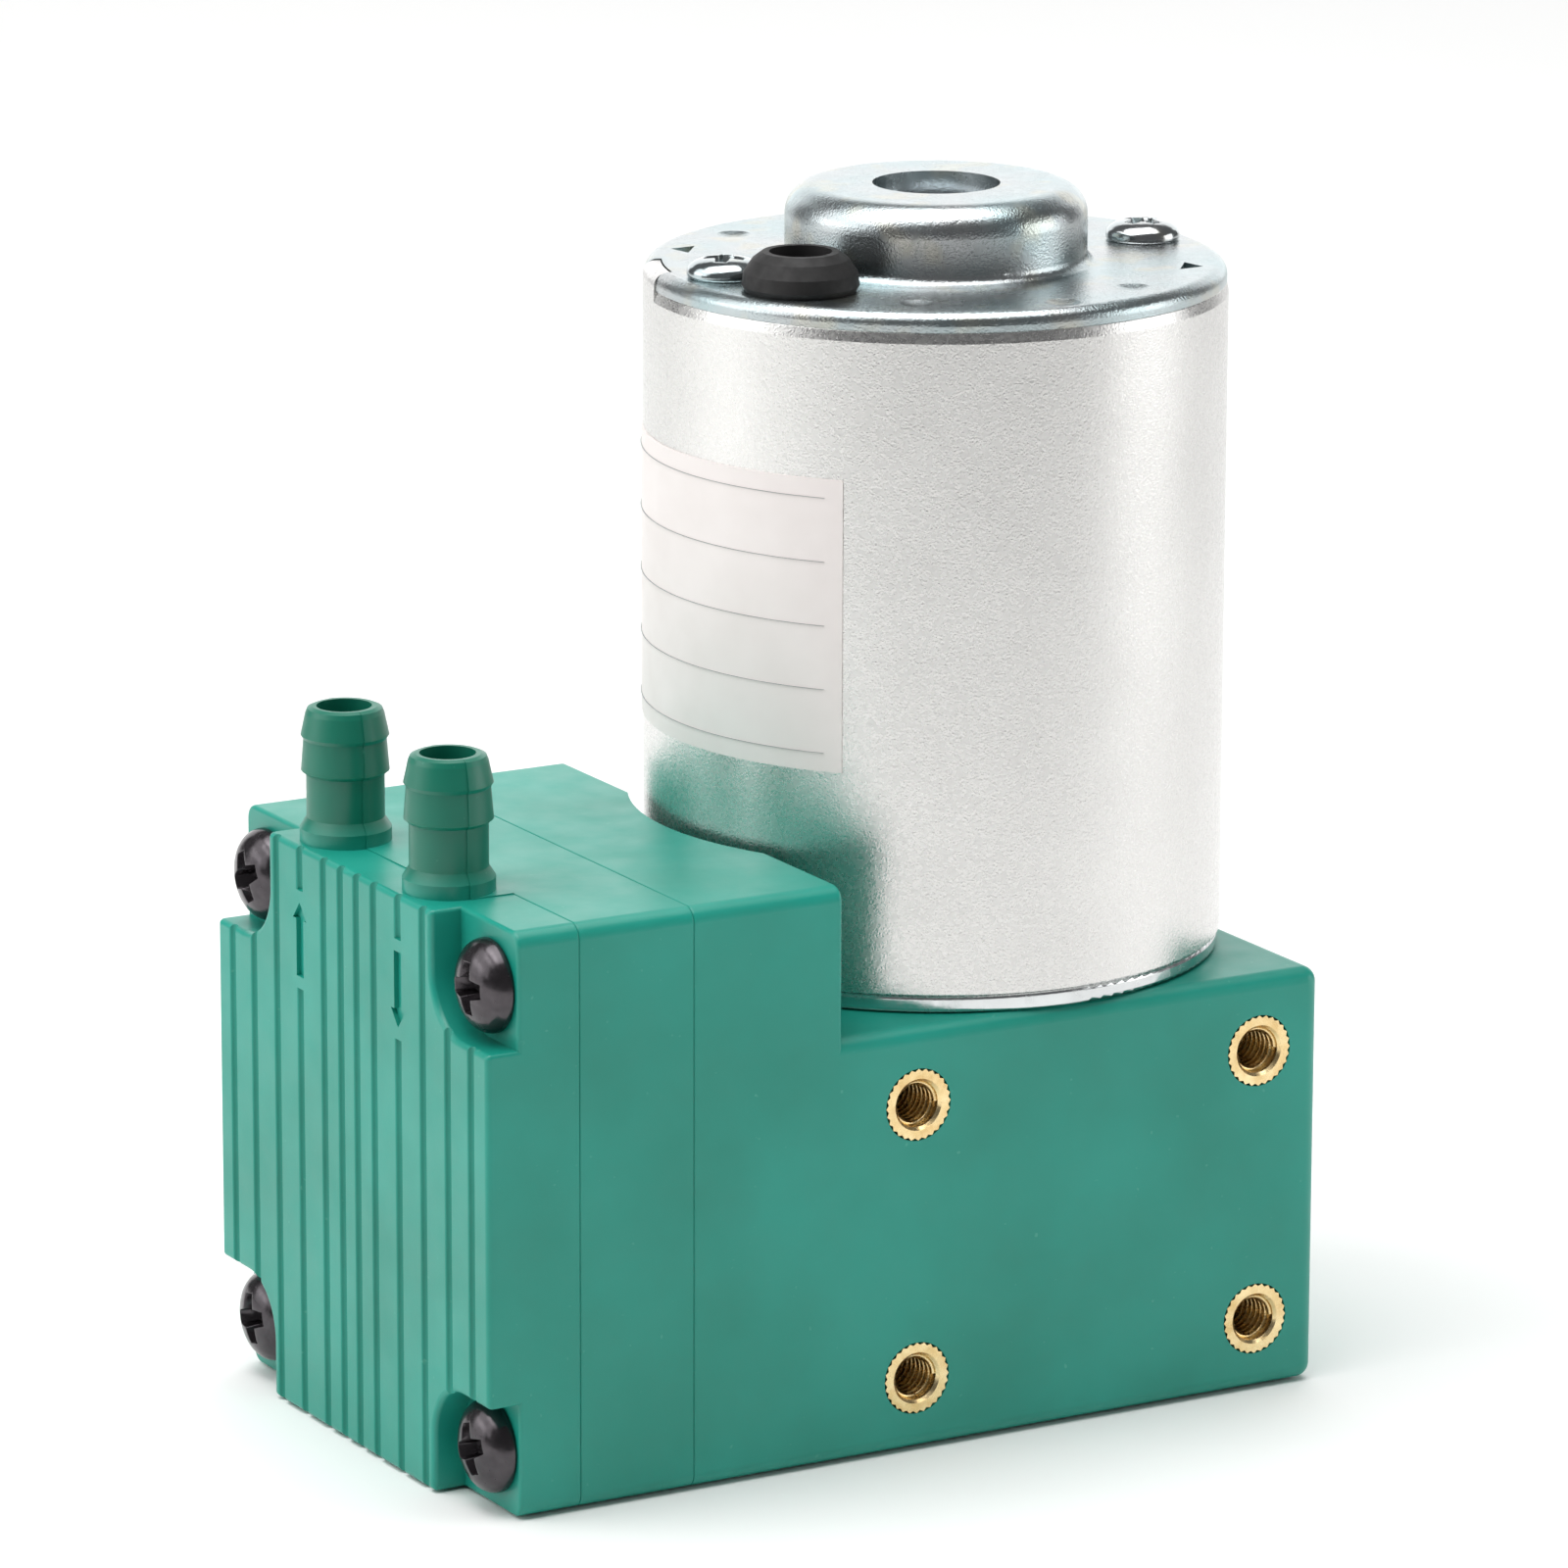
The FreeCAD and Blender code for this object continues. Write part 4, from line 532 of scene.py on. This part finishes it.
class PUMP_OT_stage(bpy.types.Operator):
    """Sets a plain pale floor, soft studio lights and the camera"""

    bl_idname = "pump.stage"
    bl_label = "Set the stage"

    floor_radius = 3.0
    floor_drop = 0.2 * MM
    camera_place = Vector((-0.378661, -0.6374, 0.238449))
    camera_aim = Vector((-0.01473, 0.0, 0.052394))
    camera_roll = math.radians(0.156)

    def execute(self, context):
        studio = context.scene.pump_studio
        self.floor(context.scene.pump_colours)
        self.room(context.scene, studio.room_light)
        self.softbox("key_light", studio.key_power, azimuth=160, elevation=32, size=(0.9, 0.8))
        self.softbox("high_light", studio.high_power, azimuth=180, elevation=60, size=(0.7, 0.7))
        self.softbox("back_light", studio.back_power, azimuth=60, elevation=15, size=(2.4, 1.0), distance=1.5)
        self.softbox("top_light", studio.top_power, azimuth=0, elevation=90, size=(1.0, 1.0))
        self.softbox("left_light", studio.left_power, azimuth=150, elevation=10, size=(0.6, 0.4))
        self.softbox("right_light", studio.right_power, azimuth=-30, elevation=10, size=(0.6, 0.5))
        self.camera(context.scene, studio.lens)
        context.scene.view_settings.view_transform = "Standard"
        return {"FINISHED"}

    def floor(self, colours):
        """Round floor just under the pump."""
        sheet = bmesh.new()
        bmesh.ops.create_circle(sheet, cap_ends=True, segments=96, radius=self.floor_radius,
                                matrix=Matrix.Translation((0, 0, -self.floor_drop)))
        material, tree, shader, place = start("painted_floor")
        shader.inputs["Roughness"].default_value = 0.8
        join(tree, shader, base_color=mottled(tree, place, 300.0, colours.floor, linear("#f1f1ef"), high=0.3))
        mesh = plain_mesh("floor", sheet)
        mesh.materials.append(material)
        loose_object(mesh)

    def room(self, scene, strength):
        """Even white light from all round."""
        world = bpy.data.worlds.new("studio_room")
        world.use_nodes = True
        shader = world.node_tree.nodes["Background"]
        shader.inputs["Color"].default_value = linear("#fbfcff")
        shader.inputs["Strength"].default_value = strength
        scene.world = world

    def softbox(self, name, watts, azimuth, elevation, size, distance=1.0):
        """Rectangular area light that faces the pump from a direction given in degrees."""
        lamp = bpy.data.lights.new(name, "AREA")
        lamp.shape = "RECTANGLE"
        lamp.size, lamp.size_y = size
        lamp.energy = watts
        light = bpy.data.objects.new(name, lamp)
        level = math.cos(math.radians(elevation))
        away = Vector((math.cos(math.radians(azimuth)) * level, math.sin(math.radians(azimuth)) * level,
                       math.sin(math.radians(elevation))))
        light.location = self.camera_aim + away * distance
        light.rotation_euler = (-away).to_track_quat("-Z", "Y").to_euler()
        light.visible_camera = False
        bpy.context.scene.collection.objects.link(light)

    def camera(self, scene, lens):
        """Camera at the photograph's place."""
        data = bpy.data.cameras.new("photo_camera")
        data.lens = lens
        data.sensor_width = 36.0
        data.clip_start = 0.01
        data.clip_end = 50.0
        camera = bpy.data.objects.new("photo_camera", data)
        facing = (self.camera_aim - self.camera_place).to_track_quat("-Z", "Y").to_matrix().to_4x4()
        camera.matrix_world = (Matrix.Translation(self.camera_place) @ facing
                               @ Matrix.Rotation(self.camera_roll, 4, "Z"))
        scene.collection.objects.link(camera)
        scene.camera = camera


class PUMP_OT_plastic_housing(bpy.types.Operator):
    """Finishes cover, valve plate, case and bottom cover as moulded green plastic"""

    bl_idname = "pump.plastic_housing"
    bl_label = "Finish the plastic housing"

    def execute(self, context):
        plastic = plastic_material(context.scene.pump_colours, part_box("valve_plate")[1].z)
        dress(plastic, "head_cover", "valve_plate", "pump_case", "bottom_cover")
        return {"FINISHED"}


class PUMP_OT_thread_inserts(bpy.types.Operator):
    """Finishes the brass inserts and winds a thread into each bore"""

    bl_idname = "pump.thread_inserts"
    bl_label = "Finish the thread inserts"

    mouth_inset = 0.5 * MM
    end_inset = 0.4 * MM

    def execute(self, context):
        sizes = context.scene.pump_sizes
        brass = brass_material(context.scene.pump_colours)
        dress(brass, "thread_inserts")
        mount = next(item for item in frame["record"]["mounts"] if item["name"] == "side_inserts")
        dims = mount["dims"]
        low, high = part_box("thread_inserts")
        middle_x, _, middle_z = mount["pos_m"]
        points = [(middle_x + across * dims["spacing_x_mm"] * MM / 2, low.y + self.mouth_inset,
                   middle_z + up * dims["spacing_y_mm"] * MM / 2)
                  for across in (-1, 1) for up in (-1, 1)]
        depth = high.y - low.y - self.mouth_inset - self.end_inset
        mesh = grow(thread_tree(), points, {"Radius": dims["hole_r_mm"] * MM, "Ridge": sizes.thread_ridge,
                                            "Turns": depth / sizes.thread_pitch, "Length": depth,
                                            "Material": brass})
        mesh_piece(mesh, "housing")
        return {"FINISHED"}


def pan_blank(radius, height, squareness, shank, tip):
    """Pan head screw without its recess: crown and shoulder above z = 0, shank below.

    A squareness of 2 gives a round head, and more gives a flatter crown with a tighter shoulder.
    """
    crown_steps = 14
    foot_step = 0.2 * MM
    foot_height = 0.25 * MM
    profile = [(0.0, tip), (shank, tip), (shank, 0.0), (radius - foot_step, 0.0)]
    for step in range(crown_steps):
        angle = math.pi / 2 * step / crown_steps
        profile.append((radius * math.cos(angle) ** (2 / squareness),
                        foot_height + (height - foot_height) * math.sin(angle) ** (2 / squareness)))
    profile.append((0.0, height))
    blank = bmesh.new()
    corners = [blank.verts.new((out, 0.0, up)) for out, up in profile]
    edges = [blank.edges.new(pair) for pair in zip(corners, corners[1:])]
    bmesh.ops.spin(blank, geom=corners + edges, axis=(0, 0, 1), cent=(0, 0, 0), steps=72, angle=2 * math.pi)
    bmesh.ops.remove_doubles(blank, verts=blank.verts, dist=0.001 * MM)
    bmesh.ops.recalc_face_normals(blank, faces=blank.faces)
    return blank


def cross_cutter(sizes, radius, height):
    """Tool for the cross recess: four arms with full roots that narrow from above the crown to the foot."""
    above = 0.4 * MM
    mouth_share = 1.06
    foot_share = 0.82
    full_root = 1.35
    levels = ((height + above, mouth_share), (height * (1 - sizes.recess_depth), foot_share))
    cutter = bmesh.new()
    rings = []
    for up, narrowing in levels:
        half = radius * sizes.recess_width * narrowing / 2
        root = half * full_root
        reach = radius * sizes.recess_reach * narrowing
        ring = []
        for quarter in range(4):
            turn = Matrix.Rotation(quarter * math.pi / 2, 3, "Z")
            for corner in ((reach, -half), (reach, half), (root, root)):
                ring.append(cutter.verts.new(turn @ Vector((*corner, up))))
        rings.append(ring)
    cutter.faces.new(rings[0])
    cutter.faces.new(list(reversed(rings[1])))
    for place, corner in enumerate(rings[0]):
        after = (place + 1) % len(rings[0])
        cutter.faces.new((corner, rings[1][place], rings[1][after], rings[0][after]))
    bmesh.ops.recalc_face_normals(cutter, faces=cutter.faces)
    return cutter


def in_order(mesh):
    """Copy of a mesh whose vertices and faces stand in an order that only its shape decides.

    The cut gives the same shape in each run but in another order, which the rounding would follow.
    """
    places = [tuple(vertex.co) for vertex in mesh.vertices]
    order = sorted(range(len(places)), key=places.__getitem__)
    new_number = {old: new for new, old in enumerate(order)}
    faces = []
    for face in mesh.polygons:
        loop = [new_number[old] for old in face.vertices]
        first = loop.index(min(loop))
        faces.append(loop[first:] + loop[:first])
    ordered = bpy.data.meshes.new(mesh.name)
    ordered.from_pydata([places[old] for old in order], [], sorted(faces))
    return ordered


def soften(mesh, width):
    """Rounds the sharp edges of a mesh, after merging the short edges that a cut leaves."""
    sharp_angle = math.radians(40)
    shape = bmesh.new()
    shape.from_mesh(mesh)
    bmesh.ops.remove_doubles(shape, verts=shape.verts, dist=width)
    sharp = [edge for edge in shape.edges if edge.calc_face_angle() > sharp_angle]
    bmesh.ops.bevel(shape, geom=sharp, offset=width, offset_type="OFFSET", segments=2, profile=0.5,
                    affect="EDGES", clamp_overlap=True)
    shape.to_mesh(mesh)
    shape.free()


def pan_screw(sizes, radius, height, squareness, shank, tip):
    """Plain mesh of one pan head screw with its cross recess cut and its stamped edges softened."""
    screw = loose_object(plain_mesh("pan_blank", pan_blank(radius, height, squareness, shank, tip)))
    cutter = loose_object(plain_mesh("cross_cutter", cross_cutter(sizes, radius, height)))
    cut = screw.modifiers.new("recess", "BOOLEAN")
    cut.operation = "DIFFERENCE"
    cut.solver = "EXACT"
    cut.object = cutter
    seen = bpy.context.evaluated_depsgraph_get()
    mesh = in_order(bpy.data.meshes.new_from_object(screw.evaluated_get(seen)))
    bpy.data.objects.remove(screw)
    bpy.data.objects.remove(cutter)
    soften(mesh, sizes.edge_round)
    return mesh


def set_of_screws(name, one, points, turns, material, node):
    """Piece made of turned copies of one screw, which stands for a CAD node on the housing."""
    sharp_angle = math.radians(35)
    model = loose_object(one)
    mesh = grow(screw_tree(name), points, {"Screw": model, "Material": material}, turns)
    bpy.data.objects.remove(model)
    mesh.shade_smooth()
    mesh.set_sharp_from_angle(angle=sharp_angle)
    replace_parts(mesh_piece(mesh, "housing"), node)


class PUMP_OT_cap_screws(bpy.types.Operator):
    """Builds the two pan head screws of the cap, with flat crowns and cross recesses"""

    bl_idname = "pump.cap_screws"
    bl_label = "Build the cap screws"

    cad_head_height = 2.2 * MM
    squareness = 2.7
    turns = [(0.0, 0.0, math.radians(turn)) for turn in (15, 50)]

    def execute(self, context):
        sizes = context.scene.pump_sizes
        low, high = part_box("end_cap_screws")
        seat = high.z - self.cad_head_height
        # The slant's sign tells on which diagonal of the cap the two screws stand
        slant = sum(vertex.co.x * vertex.co.y for vertex in frame["nodes"]["end_cap_screws"].data.vertices)
        across = high.x - sizes.cap_head_radius
        along = math.copysign(high.y - sizes.cap_head_radius, slant)
        one = pan_screw(sizes, sizes.cap_head_radius, sizes.cap_head_height, self.squareness,
                        sizes.cap_shank, low.z - seat)
        zinc = zinc_material(context.scene.pump_colours, "bright_zinc_pan_head", roughness=0.16, peel_mm=0.4,
                             peel_height_mm=0.012)
        set_of_screws("cap_screws", one, [(across, along, seat), (-across, -along, seat)], self.turns, zinc,
                      "end_cap_screws")
        return {"FINISHED"}


class PUMP_OT_black_screws(bpy.types.Operator):
    """Builds the four black pan head screws in the cover's notches and finishes the black set screw"""

    bl_idname = "pump.black_screws"
    bl_label = "Build the black screws"

    cad_head_height = 2.7 * MM
    squareness = 2.25
    turns = [(math.radians(-turn), 0.0, 0.0) for turn in (20, 4, 12, 25)]

    def execute(self, context):
        sizes = context.scene.pump_sizes
        low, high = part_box("head_screws")
        seat = low.x + self.cad_head_height
        across = high.y - sizes.black_head_radius
        heights = (low.z + sizes.black_head_radius, high.z - sizes.black_head_radius)
        one = pan_screw(sizes, sizes.black_head_radius, sizes.black_head_height, self.squareness,
                        sizes.black_shank, seat - high.x)
        # The heads face -X, so the screw is laid over and its copies turn about X
        one.transform(Matrix.Rotation(-math.pi / 2, 4, "Y"))
        points = [(seat, side * across, height) for side in (-1, 1) for height in heights]
        black = black_steel_material(context.scene.pump_colours)
        set_of_screws("black_screws", one, points, self.turns, black, "head_screws")
        dress(black, "eccentric_set_screw")
        return {"FINISHED"}


class PUMP_OT_bright_screws(bpy.types.Operator):
    """Finishes the bright screws inside and underneath"""

    bl_idname = "pump.bright_screws"
    bl_label = "Finish the bright screws"

    def execute(self, context):
        bright = zinc_material(context.scene.pump_colours, "bright_zinc_screw", roughness=0.16, peel_mm=0.5,
                               peel_height_mm=0.012)
        dress(bright, "bottom_cover_screws", "motor_mount_screws", "clamp_screw")
        return {"FINISHED"}


class PUMP_OT_motor_shell(bpy.types.Operator):
    """Finishes the motor's can, foot flange and plated end cap"""

    bl_idname = "pump.motor_shell"
    bl_label = "Finish the motor shell"

    def execute(self, context):
        colours = context.scene.pump_colours
        dress(can_material(colours), "motor_can")
        dress(flange_material(colours), "front_bell")
        cap_zinc = zinc_material(colours, "blue_zinc_cap", roughness=0.26, peel_mm=0.2, peel_height_mm=0.034)
        dress(cap_zinc, "end_cap")
        return {"FINISHED"}


class PUMP_OT_lead_grommet(bpy.types.Operator):
    """Finishes the rubber bush in the cap"""

    bl_idname = "pump.lead_grommet"
    bl_label = "Finish the lead bush"

    def execute(self, context):
        rubber = rubber_material(context.scene.pump_colours.rubber, "black_bush_rubber", "#1e1c1d")
        dress(rubber, "lead_grommet")
        return {"FINISHED"}


class PUMP_OT_rating_label(bpy.types.Operator):
    """Finishes the bare label and prints plain rules on it"""

    bl_idname = "pump.rating_label"
    bl_label = "Finish the label"

    ink_thickness = 0.02 * MM

    def execute(self, context):
        colours = context.scene.pump_colours
        sizes = context.scene.pump_sizes
        dress(label_material(colours), "rating_label")
        low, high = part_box("rating_label")
        outline = [Vector(vertex.co).to_2d() for vertex in frame["nodes"]["rating_label"].data.vertices]
        radius = max(point.length for point in outline)
        angles = [math.atan2(point.y, point.x) % (2 * math.pi) for point in outline]
        margin_angle = sizes.rule_margin / radius
        bottom, top = low.z + sizes.rule_margin, high.z - sizes.rule_margin
        rows = sizes.rule_rows
        points = [(0.0, 0.0, bottom + (top - bottom) * row / (rows - 1)) for row in range(rows)]
        mesh = grow(rule_tree(), points, {"Radius": radius, "Start": min(angles) + margin_angle,
                                          "Sweep": max(angles) - min(angles) - 2 * margin_angle,
                                          "Width": sizes.rule_width, "Thickness": self.ink_thickness,
                                          "Material": ink_material(colours)})
        mesh_piece(mesh, "housing")
        return {"FINISHED"}


class PUMP_OT_crank_drive(bpy.types.Operator):
    """Finishes rod, discs, eccentric, diaphragm and valves"""

    bl_idname = "pump.crank_drive"
    bl_label = "Finish the crank drive"

    def execute(self, context):
        colours = context.scene.pump_colours
        dress(cast_material(colours), "connecting_rod", "clamp_disc", "support_disc")
        dress(turned_material(colours.turned_zinc, "turned_zinc_alloy", roughness=0.32, spacing_mm=0.3),
              "eccentric")
        dress(rubber_material(colours.membrane, "membrane_rubber", "#3a3a3c"),
              "diaphragm", "valve_sheet", "inlet_flap", "outlet_flap")
        return {"FINISHED"}


class PUMP_OT_bearings(bpy.types.Operator):
    """Finishes the three ball bearings"""

    bl_idname = "pump.bearings"
    bl_label = "Finish the bearings"

    def execute(self, context):
        colours = context.scene.pump_colours
        rings = turned_material(colours.bearing_steel, "ground_bearing_steel", roughness=0.12, spacing_mm=0.2)
        cages = turned_material(colours.cage_steel, "pressed_cage_steel", roughness=0.34, spacing_mm=0.6)
        for bearing in ("rod_bearing", "front_bearing", "rear_bearing"):
            dress(rings, bearing + "_outer", bearing + "_inner", bearing + "_balls")
            dress(cages, bearing + "_cage")
        return {"FINISHED"}


class PUMP_OT_motor_inside(bpy.types.Operator):
    """Finishes shaft, rotor, commutator, magnets and brush gear"""

    bl_idname = "pump.motor_inside"
    bl_label = "Finish the motor's inside"

    def execute(self, context):
        colours = context.scene.pump_colours
        dress(turned_material(colours.bearing_steel, "ground_shaft_steel", roughness=0.18, spacing_mm=0.25),
              "motor_shaft")
        dress(lamination_material(colours), "rotor_core")
        dress(winding_material(colours), "rotor_windings")
        dress(turned_material(colours.commutator, "turned_commutator_copper", roughness=0.26, spacing_mm=0.3),
              "commutator")
        dress(mineral_material(colours.ferrite, "sintered_ferrite", roughness=0.6, speck_mm=0.6,
                               hex_speck="#4a4a4e"), "magnets")
        dress(mineral_material(colours.phenolic, "pressed_phenolic_board", roughness=0.5, speck_mm=1.1,
                               hex_speck="#85613c"), "brush_card")
        dress(mineral_material(colours.carbon, "pressed_carbon", roughness=0.45, speck_mm=0.5,
                               hex_speck="#3d3d3f"), "brushes")
        dress(turned_material(colours.spring, "drawn_spring_wire", roughness=0.28, spacing_mm=0.3),
              "brush_springs")
        return {"FINISHED"}


STEPS = (PUMP_OT_stage, PUMP_OT_plastic_housing, PUMP_OT_thread_inserts, PUMP_OT_cap_screws,
         PUMP_OT_black_screws, PUMP_OT_bright_screws, PUMP_OT_motor_shell, PUMP_OT_lead_grommet,
         PUMP_OT_rating_label, PUMP_OT_crank_drive, PUMP_OT_bearings, PUMP_OT_motor_inside)


class PUMP_PT_panel(bpy.types.Panel):
    """Lists the steps that dress the pump"""

    bl_label = "Vacuum pump"
    bl_idname = "PUMP_PT_panel"
    bl_space_type = "VIEW_3D"
    bl_region_type = "UI"
    bl_category = "Pump"

    def draw(self, context):
        for step in STEPS:
            self.layout.operator(step.bl_idname)
        for group in (context.scene.pump_sizes, context.scene.pump_studio, context.scene.pump_colours):
            for name in group.__annotations__:
                self.layout.prop(group, name)


GROUPS = {"pump_colours": PumpColours, "pump_sizes": PumpSizes, "pump_studio": PumpStudio}


def register():
    """Registers the classes and hangs the property groups on the scene."""
    for made in (*GROUPS.values(), *STEPS, PUMP_PT_panel):
        bpy.utils.register_class(made)
    for name, group in GROUPS.items():
        setattr(bpy.types.Scene, name, PointerProperty(type=group))


def unregister():
    """Takes the property groups and the classes away again."""
    for name in GROUPS:
        delattr(bpy.types.Scene, name)
    for made in (PUMP_PT_panel, *reversed(STEPS), *GROUPS.values()):
        bpy.utils.unregister_class(made)


def main():
    register()
    for step in STEPS:
        group, name = step.bl_idname.split(".")
        getattr(getattr(bpy.ops, group), name)()


if __name__ == "__main__":
    main()
